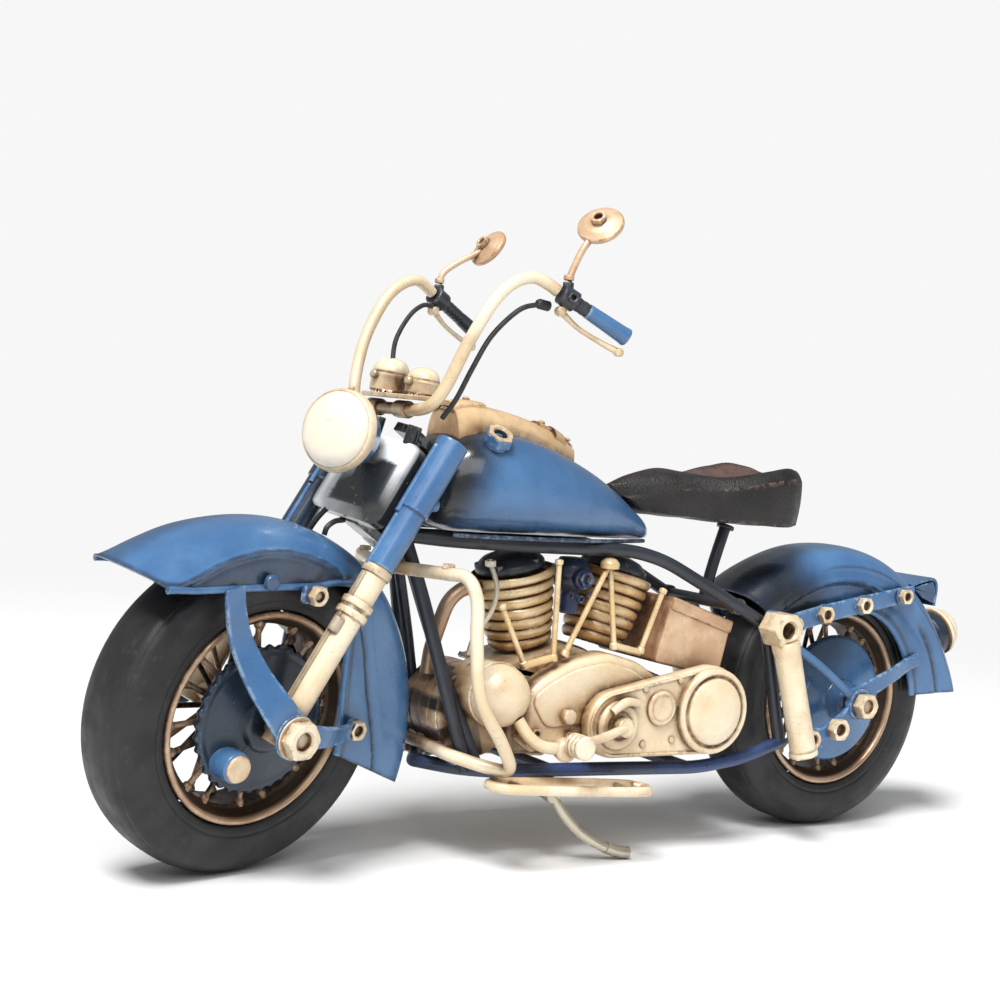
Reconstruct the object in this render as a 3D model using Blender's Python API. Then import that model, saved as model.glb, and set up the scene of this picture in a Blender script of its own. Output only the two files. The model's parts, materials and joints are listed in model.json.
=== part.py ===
"""Handmade tin motorcycle, a shelf model about 37 cm long, built from separate pieces.

Lengths are in millimetres in the tables below and are turned into metres by MM.
Bike frame: +X forward, +Y the bike's left, +Z up, ground at z = 0.
"""

import math

import bmesh
import bpy
from mathutils import Matrix, Quaternion, Vector

MM = 0.001

# ---- driving dimensions, in millimetres and degrees ----
ORIGIN_X = 10.34
ORIGIN_Y = 0.48
GAP = 0.35
TYRE_R = 52.0
TYRE_HALF = 12.8
TYRE_FLAT = 5.0
RIM_R = 34.3
RIM_HALF = 11.6
FRONT_AXLE = (126.5, 0.0, 52.6)
REAR_AXLE = (-125.8, 0.0, 52.0)
AXLE_R = 2.8
BORE_R = 3.2
RAKE = 29.9
STEER_FOOT = 138.8
STEER_REST = 15.0
BAR_TWIST = -13.0
FORK_AHEAD = 18.5
FORK_HALF = 23.2
FORK_R = 4.4
SLEEVE_R = 5.2
FENDER_HALF = 17.6
SHEET = 1.1
FRAME_R = 2.4
BAR_R = 2.0
CYLINDER_R = 15.4
SPOKES = 5

STEER_AXIS = Vector((-math.sin(math.radians(RAKE)), 0, math.cos(math.radians(RAKE))))


def steer_point(z):
    """The point of the steering axis at height z."""
    return Vector((STEER_FOOT - z * math.tan(math.radians(RAKE)), 0, z))


def fork_point(z, side):
    """The point of a fork tube's centre line at height z."""
    return steer_point(z) + Vector((FORK_AHEAD, side * FORK_HALF, 0))


STEER_ORIGIN = steer_point(128.0)


# ---- scene ----


def clear_scene():
    for item in list(bpy.data.objects):
        bpy.data.objects.remove(item, do_unlink=True)


def material(name, colour, roughness, metallic):
    made = bpy.data.materials.new(name)
    made.use_nodes = True
    shader = made.node_tree.nodes["Principled BSDF"]
    shader.inputs["Base Color"].default_value = (*colour, 1.0)
    shader.inputs["Roughness"].default_value = roughness
    shader.inputs["Metallic"].default_value = metallic
    made.diffuse_color = (*colour, 1.0)
    return made


class Frame:
    """An empty that pieces hang from, with the drawing point that its origin stands for."""

    def __init__(self, name, at, parent=None, axis=None, turn=0.0):
        self.at = Vector(at)
        self.empty = bpy.data.objects.new(name, None)
        bpy.context.scene.collection.objects.link(self.empty)
        if parent is None:
            self.empty.location = self.at * MM
        else:
            self.empty.parent = parent.empty
            self.empty.location = (self.at - parent.at) * MM
        if axis is not None:
            self.empty.rotation_mode = "QUATERNION"
            self.empty.rotation_quaternion = Quaternion(axis, math.radians(turn))


# ---- shapes: each returns (points in mm, faces) ----


def smooth_path(points, per=4):
    """Catmull-Rom points through the given ones."""
    pts = [Vector(p) for p in points]
    ends = [pts[0] * 2 - pts[1]] + pts + [pts[-1] * 2 - pts[-2]]
    out = []
    for i in range(1, len(ends) - 2):
        a, b, c, d = ends[i - 1 : i + 3]
        for k in range(per):
            t = k / per
            out.append(
                0.5
                * (
                    2 * b
                    + (c - a) * t
                    + (2 * a - 5 * b + 4 * c - d) * t * t
                    + (3 * b - a - 3 * c + d) * t ** 3
                )
            )
    out.append(pts[-1])
    return out


def ring_faces(rings, count, closed_loop=False, caps=True):
    """Quads that join successive rings of count points, with end caps."""
    faces = []
    steps = rings if closed_loop else rings - 1
    for i in range(steps):
        j = (i + 1) % rings
        for k in range(count):
            n = (k + 1) % count
            faces.append((i * count + k, i * count + n, j * count + n, j * count + k))
    if caps and not closed_loop:
        faces.append(tuple(reversed(range(count))))
        faces.append(tuple(range((rings - 1) * count, rings * count)))
    return faces


def sweep(path, section, closed_loop=False, up=None):
    """A closed section of (a, b) points carried along a path; scale may vary with (a, b, s)."""
    path = [Vector(p) for p in path]
    count = len(path)
    tangents = []
    for i in range(count):
        if closed_loop:
            tangents.append((path[(i + 1) % count] - path[i - 1]).normalized())
        else:
            tangents.append((path[min(i + 1, count - 1)] - path[max(i - 1, 0)]).normalized())
    if up is None:
        side = tangents[0].orthogonal().normalized()
    else:
        side = tangents[0].cross(Vector(up)).normalized()
    points = []
    for i in range(count):
        if up is None:
            side = (side - tangents[i] * side.dot(tangents[i])).normalized()
        else:
            side = tangents[i].cross(Vector(up)).normalized()
        other = tangents[i].cross(side)
        here = section(i / (count - 1)) if callable(section) else section
        points += [path[i] + side * a + other * b for a, b in here]
    size = len(section(0.0)) if callable(section) else len(section)
    return points, ring_faces(count, size, closed_loop)


def circle(radius, sides=8):
    return [
        (radius * math.cos(2 * math.pi * k / sides), radius * math.sin(2 * math.pi * k / sides))
        for k in range(sides)
    ]


def tube(points, radius, sides=8, per=4, closed_loop=False):
    path = smooth_path(points, per) if per > 1 else points
    if closed_loop:
        path = path[:-1]
    return sweep(path, circle(radius, sides), closed_loop)


def axes_for(direction):
    """Two unit vectors square to a direction, the first as level as it can be."""
    d = Vector(direction).normalized()
    first = Vector((0, 0, 1)).cross(d)
    if first.length < 1e-6:
        first = Vector((1, 0, 0))
    first.normalize()
    return first, d.cross(first), d


def turned(profile, at, direction, sides=24, phase=0.0):
    """A solid of revolution: (radius, height) pairs from the base up; radius 0 only at the ends."""
    u, v, d = axes_for(direction)
    at = Vector(at)
    points = []
    rings = []
    for radius, height in profile:
        if radius < 1e-6:
            rings.append([len(points)])
            points.append(at + d * height)
            continue
        start = len(points)
        for k in range(sides):
            a = 2 * math.pi * k / sides + phase
            points.append(at + d * height + u * radius * math.cos(a) + v * radius * math.sin(a))
        rings.append(list(range(start, start + sides)))
    faces = []
    for low, high in zip(rings, rings[1:]):
        for k in range(sides):
            n = (k + 1) % sides
            if len(low) == 1:
                faces.append((low[0], high[n], high[k]))
            elif len(high) == 1:
                faces.append((low[k], low[n], high[0]))
            else:
                faces.append((low[k], low[n], high[n], high[k]))
    if len(rings[0]) > 1:
        faces.append(tuple(reversed(rings[0])))
    if len(rings[-1]) > 1:
        faces.append(tuple(rings[-1]))
    return points, faces


def rod(a, b, radius, sides=10, phase=0.0):
    a, b = Vector(a), Vector(b)
    return turned([(radius, 0), (radius, (b - a).length)], a, b - a, sides, phase)


def hex_nut(at, direction, radius, thickness):
    bevel = radius * 0.14
    profile = [(radius, 0), (radius, thickness - bevel), (radius - bevel, thickness)]
    return turned(profile, at, direction, 6, math.pi / 6)


def hoop(section, at, sides=40):
    """A ring about a level axis along Y from a closed (radius, y) section, a flat side down.

    The flats, not the corners, are at the section's radii.
    """
    at = Vector(at)
    points = []
    for i in range(sides):
        a = 2 * math.pi * (i + 0.5) / sides
        grow = 1 / math.cos(math.pi / sides)
        points += [at + Vector((r * grow * math.cos(a), y, r * grow * math.sin(a))) for r, y in section]
    return points, ring_faces(sides, len(section), True)


def slab(outline, y0, y1):
    """A closed outline of (x, z) points, carried straight from y0 to y1."""
    count = len(outline)
    points = [Vector((x, y0, z)) for x, z in outline] + [Vector((x, y1, z)) for x, z in outline]
    faces = [(k, (k + 1) % count, (k + 1) % count + count, k + count) for k in range(count)]
    faces += [tuple(reversed(range(count))), tuple(range(count, 2 * count))]
    return points, faces


def box(centre, size, turn=0.0):
    """A block, turned about the Y axis by turn degrees."""
    rotation = Matrix.Rotation(math.radians(turn), 3, "Y")
    half = Vector(size) / 2
    points = []
    for x, y, z in (
        (-1, -1, -1), (1, -1, -1), (1, 1, -1), (-1, 1, -1),
        (-1, -1, 1), (1, -1, 1), (1, 1, 1), (-1, 1, 1),
    ):
        points.append(Vector(centre) + rotation @ Vector((x * half.x, y * half.y, z * half.z)))
    faces = [(0, 3, 2, 1), (4, 5, 6, 7), (0, 1, 5, 4), (1, 2, 6, 5), (2, 3, 7, 6), (3, 0, 4, 7)]
    return points, faces


def strap(points, width, thickness, per=4, up=(0, 1, 0)):
    """A flat bar whose broad face looks along up."""
    w, t = width / 2, thickness / 2
    section = [(-w, -t), (w, -t), (w, t), (-w, t)]
    return sweep(smooth_path(points, per), section, up=up)


def mirrored(shape):
    points, faces = shape
    return [Vector((p.x, -p.y, p.z)) for p in points], [tuple(reversed(f)) for f in faces]


def sided(shape, side):
    return shape if side > 0 else mirrored(shape)


# ---- pieces ----


def add_mesh(name, shape, origin):
    points, faces = shape
    mesh = bpy.data.meshes.new(name)
    mesh.from_pydata([(Vector(p) - origin) * MM for p in points], [], faces)
    work = bmesh.new()
    work.from_mesh(mesh)
    bmesh.ops.recalc_face_normals(work, faces=work.faces)
    if work.calc_volume(signed=True) < 0:
        bmesh.ops.reverse_faces(work, faces=work.faces)
    work.to_mesh(mesh)
    work.free()
    return mesh


def helper_group(name, shapes, frame, mark):
    """Hidden solids that a piece is joined with or cut by."""
    group = bpy.data.collections.new(f"{name}_{mark}")
    bpy.context.scene.collection.children.link(group)
    for i, shape in enumerate(shapes):
        label = f"{name}_{mark}_{i}"
        item = bpy.data.objects.new(label, add_mesh(label, shape, frame.at))
        item.parent = frame.empty
        item.hide_render = True
        item.display_type = "WIRE"
        group.objects.link(item)
    return group


def piece(name, shapes, frame, look, cuts=(), sharp=35.0):
    """One named object: the first shape, joined with the others, less the cuts."""
    mesh = add_mesh(name, shapes[0], frame.at)
    mesh.materials.append(look)
    item = bpy.data.objects.new(name, mesh)
    bpy.context.scene.collection.objects.link(item)
    item.parent = frame.empty
    for mark, extra, operation in (("join", shapes[1:], "UNION"), ("cut", cuts, "DIFFERENCE")):
        if not extra:
            continue
        modifier = item.modifiers.new(mark, "BOOLEAN")
        modifier.operation = operation
        modifier.operand_type = "COLLECTION"
        modifier.collection = helper_group(name, extra, frame, mark)
        modifier.solver = "EXACT"
    mesh.shade_smooth()
    mesh.set_sharp_from_angle(angle=math.radians(sharp))
    return item


def eased(stations, x):
    """Values between stations, by a smooth curve; each station is (x, value, value, ...)."""
    rows = sorted(stations)
    x = min(max(x, rows[0][0]), rows[-1][0])
    i = max(k for k in range(len(rows) - 1) if rows[k][0] <= x or k == 0)
    a, b = rows[i], rows[i + 1]
    before = rows[max(i - 1, 0)]
    after = rows[min(i + 2, len(rows) - 1)]
    t = (x - a[0]) / (b[0] - a[0])
    out = []
    for k in range(1, len(a)):
        wide = b[0] - a[0]
        m0 = (b[k] - before[k]) / max(b[0] - before[0], 1e-9) * wide
        m1 = (after[k] - a[k]) / max(after[0] - a[0], 1e-9) * wide
        out.append(
            (2 * t ** 3 - 3 * t * t + 1) * a[k]
            + (t ** 3 - 2 * t * t + t) * m0
            + (3 * t * t - 2 * t ** 3) * b[k]
            + (t ** 3 - t * t) * m1
        )
    return out


def power(value, exponent):
    return math.copysign(abs(value) ** exponent, value)


# ---- fuel tank, console and seat ----

# x, half width, underside z, top z
TANK = (
    (-32.0, 3.0, 112.0, 114.5),
    (-28.0, 8.0, 111.3, 118.0),
    (-18.0, 13.5, 111.2, 124.8),
    (-5.0, 19.0, 111.2, 132.5),
    (12.0, 23.5, 111.2, 140.0),
    (30.0, 25.0, 111.2, 145.5),
    (46.0, 24.0, 111.2, 146.5),
    (58.0, 20.5, 112.0, 143.5),
    (65.0, 15.5, 115.0, 137.5),
    (68.5, 8.0, 120.0, 130.0),
)
TANK_POWER = 2.5
TANK_WAIST = 0.42


def tank_levels(x):
    half, low, high = eased(TANK, x)
    middle = low + (high - low) * TANK_WAIST
    return half, low, middle, high


def tank_top(x, y):
    half, low, middle, high = tank_levels(x)
    inside = max(1 - abs(y / half) ** TANK_POWER, 0.0)
    return middle + (high - middle) * inside ** (1 / TANK_POWER)


def tank_shape(stations=12, count=16):
    points = []
    for i in range(stations):
        share = 0.5 - 0.5 * math.cos(math.pi * i / (stations - 1))
        x = -32.0 + 100.5 * (0.5 * share + 0.5 * i / (stations - 1))
        half, low, middle, high = tank_levels(x)
        for k in range(count):
            a = 2 * math.pi * k / count
            rise = high - middle if math.sin(a) > 0 else middle - low
            y = half * power(math.cos(a), 2 / TANK_POWER)
            points.append(Vector((x, y, middle + rise * power(math.sin(a), 2 / TANK_POWER))))
    return points, ring_faces(stations, count)


# x, half width, crest height
CONSOLE = (
    (2.0, 0.9, 142.0),
    (10.0, 4.6, 146.6),
    (25.0, 7.6, 151.4),
    (40.0, 9.6, 154.2),
    (52.0, 10.8, 155.0),
    (57.0, 10.8, 154.2),
)


def console_shape(stations=8, count=7):
    """A ridge along the tank: the crest follows CONSOLE and the underside follows the tank."""
    points = []
    for i in range(stations):
        x = 2.0 + 55.0 * i / (stations - 1)
        half, crest = eased(CONSOLE, x)
        row = [-1 + 2 * k / (count - 1) for k in range(count)]
        for s in row:
            points.append(Vector((x, half * s, tank_top(x, half * s) + 0.5)))
        for s in reversed(row):
            rim = tank_top(x, half * s) + 2.2
            top = rim + (crest - rim) * (1 - abs(s) ** 2.6) ** 0.7
            points.append(Vector((x, half * s * 0.97, max(top, rim))))
    return points, ring_faces(stations, 2 * count)


# x, half width, underside z, middle z, rim z
SEAT = (
    (-99.5, 7.0, 122.5, 134.0, 134.5),
    (-97.0, 13.5, 120.0, 136.8, 139.0),
    (-90.0, 19.5, 118.8, 137.5, 141.6),
    (-76.0, 22.0, 118.6, 135.5, 140.2),
    (-60.0, 18.5, 119.0, 135.6, 137.0),
    (-48.0, 13.5, 119.8, 137.0, 136.0),
    (-36.0, 10.0, 120.2, 137.6, 134.5),
    (-24.0, 6.5, 122.0, 134.8, 132.0),
    (-15.0, 2.4, 128.6, 131.0, 130.4),
)


def seat_shape(stations=13, count=7):
    points = []
    for i in range(stations):
        x = -99.5 + 84.5 * i / (stations - 1)
        half, low, middle, rim = eased(SEAT, x)
        row = [-1 + 2 * k / (count - 1) for k in range(count)]
        for s in row:
            points.append(Vector((x, half * s * 0.93, low + 0.8 * s * s)))
        for s in reversed(row):
            dish = middle + (rim - middle) * min(abs(s) / 0.8, 1.0) ** 2
            points.append(Vector((x, half * s, dish - 3.2 * max(abs(s) - 0.8, 0) / 0.2)))
    return points, ring_faces(stations, 2 * count)


# ---- wheels ----


def tyre_section():
    outer = [(TYRE_R, TYRE_FLAT), (50.2, 9.8), (46.4, 12.4), (41.0, TYRE_HALF), (35.0, 11.2)]
    return [(r, -y) for r, y in outer] + [(r, y) for r, y in reversed(outer)]


def rim_section():
    return [
        (34.3, -11.2), (34.3, -8.6), (31.8, -6.4), (31.8, 6.4), (34.3, 8.6), (34.3, 11.2),
        (33.0, 11.2), (30.0, 6.0), (30.0, -6.0), (33.0, -11.2),
    ]


def wheel_shapes(at, hub_half):
    """Rim, hub and crossed pairs of flat spokes that run from the hub ends to the rim."""
    at = Vector(at)
    shapes = [hoop(rim_section(), at, 24)]
    hub = [(5.4, -hub_half), (5.4, hub_half)]
    shapes.append(turned(hub, at, (0, 1, 0), 16))
    for side in (-1, 1):
        for i in range(SPOKES):
            for lean in (-1, 1):
                a = 2 * math.pi * (i + 0.25 * side) / SPOKES
                b = a + lean * 0.5 * math.pi / SPOKES
                y = side * (hub_half - 1.2)
                near = at + Vector((4.2 * math.cos(a), y, 4.2 * math.sin(a)))
                far = at + Vector((30.8 * math.cos(b), side * 5.2, 30.8 * math.sin(b)))
                shapes.append(rod(near, far, 1.0, 4))
    return shapes


# ---- fenders ----


def fender_shape(at, crown, edge, half, angles, flare=None, arc=5):
    """A valanced mudguard: a rounded crown over straight sides, carried round the axle.

    crown and edge are tables of (angle, radius); half is the half width.
    """
    points = []
    for angle in angles:
        r_top = eased(crown, angle)[0]
        r_low = eased(edge, angle)[0]
        wide = half + (eased(flare, angle)[0] if flare else 0.0)
        shoulder = min(13.0, max(r_top - r_low, 1.0))
        rows = []
        for thick, sign in ((0.0, 1), (SHEET, -1)):
            row = [(r_low, wide - thick)]
            for k in range(arc):
                a = 0.5 * math.pi * k / (arc - 1)
                y = (wide - thick) * math.cos(a) ** 0.75
                r = r_top - shoulder + (shoulder - thick) * math.sin(a) ** 0.8
                row.append((max(r, r_low + 0.05 * (k + 1)), y))
            full = row + [(r, -y) for r, y in reversed(row[:-1])]
            rows.append(full if sign > 0 else list(reversed(full)))
        a = math.radians(angle)
        for r, y in rows[0] + rows[1]:
            points.append(Vector(at) + Vector((r * math.cos(a), y, r * math.sin(a))))
    return points, ring_faces(len(angles), len(rows[0]) * 2)


FRONT_CROWN = (
    (44.0, 67.6), (50.0, 67.6), (60.0, 66.0), (76.0, 63.2), (106.0, 60.8),
    (124.0, 60.4), (153.0, 61.0), (181.0, 63.8), (204.0, 68.4),
)
FRONT_EDGE = (
    (44.0, 64.6), (50.0, 58.0), (60.0, 51.0), (75.0, 45.4), (90.0, 43.6), (105.0, 45.0),
    (116.0, 49.2), (122.0, 50.4), (130.0, 43.0), (145.0, 34.2), (160.0, 29.8),
    (180.0, 28.2), (204.0, 31.4),
)
FRONT_FLARE = ((44.0, 2.4), (54.0, 1.4), (66.0, 0.0), (204.0, 0.0))
REAR_CROWN = (
    (38.0, 67.4), (58.0, 62.8), (77.0, 61.0), (110.0, 60.4), (142.0, 62.4),
    (164.0, 66.6), (178.0, 71.4),
)
REAR_EDGE = (
    (38.0, 56.0), (48.0, 44.0), (60.0, 38.4), (80.0, 37.4), (120.0, 37.4), (160.0, 37.6),
    (178.0, 39.0),
)


# ---- engine ----


def finned(at, direction, radius, length, fins):
    profile = [(radius * 0.62, 0)]
    step = length / fins
    for i in range(fins):
        base = i * step
        wide = radius * (0.7 + 0.3 * (i + 1) / fins)
        profile += [(wide * 0.9, base + 0.15 * step), (wide, base + 0.5 * step)]
    profile.append((radius * 0.84, length))
    return turned(profile, at, direction, 14)


def hull_outline(c0, r0, c1, r1, steps=10):
    """The outline round two circles in the XZ plane."""
    a, b = Vector(c0), Vector(c1)
    along = b - a
    heading = math.atan2(along.y, along.x)
    lean = math.acos((r0 - r1) / along.length)
    out = []
    for k in range(steps + 1):
        t = heading + lean + (2 * math.pi - 2 * lean) * k / steps
        out.append((a.x + r0 * math.cos(t), a.y + r0 * math.sin(t)))
    for k in range(steps + 1):
        t = heading - lean + 2 * lean * k / steps
        out.append((b.x + r1 * math.cos(t), b.y + r1 * math.sin(t)))
    return out


def main():
    clear_scene()
    blue = material("blue_paint", (0.055, 0.16, 0.36), 0.38, 0.1)
    dark = material("dark_paint", (0.03, 0.035, 0.045), 0.4, 0.2)
    cream = material("antique_cream", (0.83, 0.66, 0.42), 0.42, 0.35)
    bronze = material("bronze_rim", (0.33, 0.2, 0.11), 0.4, 0.7)
    rubber = material("tyre_rubber", (0.02, 0.02, 0.02), 0.6, 0.0)
    leather = material("seat_brown", (0.045, 0.033, 0.03), 0.55, 0.0)
    silver = material("worn_steel", (0.5, 0.48, 0.44), 0.35, 0.9)

    world = Frame("motorcycle", (0, 0, 0))
    root = Frame("body", (0, 0, 0), world)
    root.empty.location = Vector((ORIGIN_X, ORIGIN_Y, 0)) * MM
    steer = Frame("steering", STEER_ORIGIN, root, STEER_AXIS, STEER_REST)
    bars = Frame("bars", STEER_ORIGIN, steer, STEER_AXIS, BAR_TWIST)
    front_hub = Frame("front_wheel", FRONT_AXLE, steer)
    rear_hub = Frame("rear_wheel", REAR_AXLE, root)

    build_frame(root, dark)
    build_tank(root, blue, cream, leather)
    build_engine(root, cream, dark, silver, bronze)
    build_rails(root, cream)
    build_rear(root, blue, cream, silver)
    build_wheel(rear_hub, REAR_AXLE, "rear", rubber, bronze)
    build_rear_disc(rear_hub, blue)
    build_steering(steer, blue, cream, dark, silver)
    build_front_guard(steer, blue)
    build_wheel(front_hub, FRONT_AXLE, "front", rubber, bronze)
    build_bars(bars, cream, dark, silver)


def build_frame(root, dark):
    shapes = []
    head = [(5.0, 0), (5.0, 30.2)]
    shapes.append(turned(head, steer_point(108.3), STEER_AXIS, 16))
    for side in (1, -1):
        top = [(72, 4, 109.4), (56, 9, 108.4), (32, 15, 108.2), (-16, 16.6, 108.0),
               (-30, 18, 104.8), (-54, 20.4, 93.6), (-70, 21.4, 86.0), (-78, 21.4, 82.2)]
        down = [(70.5, 4, 108), (64.5, 9, 88), (50.4, 17.4, 39.5), (48.6, 18.2, 32)]
        low = [(58, 0, 32.2), (49, 14, 32.0), (36, 19.6, 31.6), (-7, 20, 30.6), (-52, 20, 29.2),
               (-72, 20.8, 31.8), (-92, 21.2, 38.0)]
        rear = [(-78, 21.4, 81.6), (-84, 21.3, 60), (-90, 21.2, 38.0)]
        for path in (top, down, low, rear):
            shapes.append(sided(tube(path, FRAME_R, 6, 1), side))
    shapes.append(rod((-64, -21, 89.0), (-64, 21, 89.0), 2.2, 6))
    shapes.append(tube([(-64.5, 0, 89), (-68, 0, 103), (-72.6, 0, 117.8)], 2.2, 6, 2))
    shapes.append(rod((-47, -20, 29.4), (-47, 20, 29.4), 2.2, 8))
    shapes.append(rod((14, -20, 30.9), (14, 20, 30.9), 2.2, 8))
    shapes.append(rod((72.2, -4, 109.2), (72.2, 4, 109.2), 2.6, 8))
    shapes.append(box((16.0, 19.6, 25.6), (6.0, 3.4, 8.0)))
    bore = rod(steer_point(100.0), steer_point(145.0), BORE_R, 14)
    piece("main_frame", shapes, root, dark, [bore])
    stand = [(16.0, 24.0, 23.4), (10.5, 25.4, 16.0), (4.0, 26.2, 10.0), (-4, 27.2, 5.4),
             (-12, 28.2, 2.4), (-15.5, 28.8, 1.8)]
    hinge = Frame("stand_hinge", (16.0, 21.6, 23.4), root)
    shapes = [rod((16, 21.7, 23.4), (16, 25.8, 23.4), 2.6, 12), tube(stand, 1.8, 8, 2)]
    piece("kickstand", shapes, hinge, dark)


def build_tank(root, blue, cream, leather):
    clear = rod(steer_point(104.0), steer_point(160.0), 9.2, 20)
    piece("fuel_tank", [tank_shape()], root, blue, [clear])
    piece("tank_console", [console_shape()], root, cream, [clear])
    x, y = 46.5, 17.4
    slope = tank_top(x, y + 0.5) - tank_top(x, y - 0.5)
    normal = Vector((0, -slope, 1)).normalized()
    seat_at = Vector((x, y, tank_top(x, y))) + normal * 0.9
    shapes = [hex_nut(seat_at, normal, 4.6, 3.4)]
    shapes.append(turned([(2.4, 0), (2.4, 4.2), (1.6, 4.8)], seat_at, normal, 12))
    piece("filler_cap", shapes, root, cream)
    piece("seat", [seat_shape()], root, leather, sharp=50)


FRONT_FOOT = Vector((18.0, 0, 72.4))
FRONT_LEAN = Vector((math.sin(math.radians(14.6)), 0, math.cos(math.radians(14.6))))
REAR_FOOT = Vector((-13.0, 0, 72.4))
REAR_LEAN = Vector((-math.sin(math.radians(14.6)), 0, math.cos(math.radians(14.6))))
CYLINDER_LONG = 27.0
BARREL = Vector((42.0, 0, 50.4))


def build_engine(root, cream, dark, silver, bronze):
    block = [(30, 36), (30, 64), (37, 66.2), (22, 70), (7.4, 74.2), (-7, 70), (-25, 66.0),
             (-40, 61), (-60, 57), (-63, 46), (-58, 36.5), (-40, 34)]
    bulge = [(28, 58), (22, 63.5), (10, 69.4), (-6, 72.2), (-20, 68.4), (-31, 61), (-31, 40),
             (28, 40)]
    shapes = [slab(block, -14.5, 14.5), slab(bulge, 10, 22.4), slab(bulge, -20.0, -10)]
    dome = [(10.6, -12.0), (10.6, 6.0), (9.4, 9.6), (6.2, 12.0), (0, 13.0)]
    shapes.append(turned(dome, (41.0, 19.0, 58.4), (0, 1, 0), 20))
    foot = [(8.0, 0), (8.0, 3.0)]
    shapes.append(turned(foot, (32, 11, 58.4), (0, 1, 0), 12))
    barrel_clear = turned([(16.2, 0), (16.2, 30.0)], BARREL - Vector((0, 16.8, 0)), (0, 1, 0), 28)
    piece("crankcase", shapes, root, cream, [barrel_clear])
    bands = []
    for i in range(4):
        y = -12.0 + 6.1 * i
        bands += [(14.2, y), (15.6, y + 1.0), (15.6, y + 4.4), (14.2, y + 5.4)]
    piece("generator", [turned(bands, BARREL, (0, 1, 0), 18)], root, cream)

    for name, foot_at, lean in (("front", FRONT_FOOT, FRONT_LEAN), ("rear", REAR_FOOT, REAR_LEAN)):
        piece(f"cylinder_{name}", [finned(foot_at, lean, CYLINDER_R, CYLINDER_LONG, 6)], root, cream)
        cover = [(12.2, 0), (12.2, 2.4), (9.6, 5.0), (5.0, 6.4), (0, 6.6)]
        top = foot_at + lean * (CYLINDER_LONG + GAP)
        piece(f"rocker_{name}", [turned(cover, top, lean, 20)], root, dark)

    outline = hull_outline((-48.0, 52.0), 16.2, (-6.0, 48.0), 12.0)
    shapes = [slab(outline, 22.8, 28.6)]
    ring = [(15.4, -0.2), (15.4, 2.8), (12.8, 2.2), (11.6, 3.4), (0, 4.9)]
    shapes.append(turned(ring, (-48.0, 28.6, 52.0), (0, 1, 0), 20))
    shapes.append(turned([(6.2, -0.2), (6.2, 1.0), (5.0, 1.5)], (-25.0, 28.6, 53.5), (0, 1, 0), 12))
    shapes.append(turned([(8.4, -0.2), (8.4, 1.6), (7.2, 2.2)], (-6.0, 28.6, 48.0), (0, 1, 0), 14))
    piece("primary_cover", shapes, root, cream)

    carb = [(3.4, 0), (3.4, 8.0), (5.6, 10.0), (6.0, 17.0), (4.6, 20.0)]
    shapes = [turned(carb, (2.6, 6.0, 84.0), (0, 0, 1), 16)]
    shapes.append(rod((2.6, -8.0, 97.0), (2.6, 14.5, 97.0), 3.6, 12))
    piece("carburettor", shapes, root, dark)

    tall = [rod((40.2, 19.4, 88.6), (28.3, 19.4, 66.8), 1.25, 8)]
    tall.append(rod((17.6, 19.0, 104.4), (17.0, 19.4, 69.0), 1.25, 8))
    tall.append(rod((28.8, 19.4, 67.6), (16.6, 19.4, 70.4), 1.5, 8))
    piece("pushrods_front", tall, root, cream)
    tall = [rod((-4.0, 19.4, 103.6), (12.8, 19.4, 70.6), 1.25, 8)]
    tall.append(rod((-4.0, 19.4, 103.6), (-9.0, 19.4, 73.0), 1.25, 8))
    tall.append(turned([(3.4, 0), (3.4, 2.2), (2.0, 3.6), (0, 4.0)], (-4.0, 19.4, 101.6), (0, 0, 1), 12))
    tall.append(rod((-29.5, 19.0, 95.0), (-20.4, 19.4, 71.4), 1.25, 8))
    tall.append(rod((-9.0, 19.4, 74.2), (-20.6, 19.4, 71.8), 1.4, 8))
    piece("pushrods_rear", tall, root, cream)
    line = [(44, 17.2, 101.4), (42, 18.6, 94), (43.5, 18.8, 86), (48.5, 17.4, 77.5), (49, 15, 71)]
    piece("oil_line", [tube(line, 0.8, 6, 2)], root, silver)
    pipe = [(39.6, 2, 92.4), (45.6, 2, 91.0), (50.2, 1.6, 86.6), (52.6, 0.8, 79), (54.6, 0, 70), (55.4, 0, 62)]
    piece("exhaust_header", [tube(pipe, 2.5, 10, 3)], root, bronze)
    outline = [(-34.6, 91.0), (-63.7, 82.2), (-59.4, 62.0), (-28.8, 68.0)]
    tank = slab(outline, -17.4, 18.4)
    piece("oil_tank", [tank], root, cream)
    shapes = [rod((-6.0, 31.3, 48.0), (-6.0, 34.6, 48.0), 3.4, 14)]
    shapes.append(tube([(-6.0, 33.4, 48.0), (4, 35.4, 45.4), (17, 37.4, 43.4)], 1.6, 8, 3))
    shapes.append(rod((17, 35.0, 43.4), (17, 43.4, 43.4), 4.0, 16))
    piece("shift_pedal", shapes, root, cream)


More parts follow.
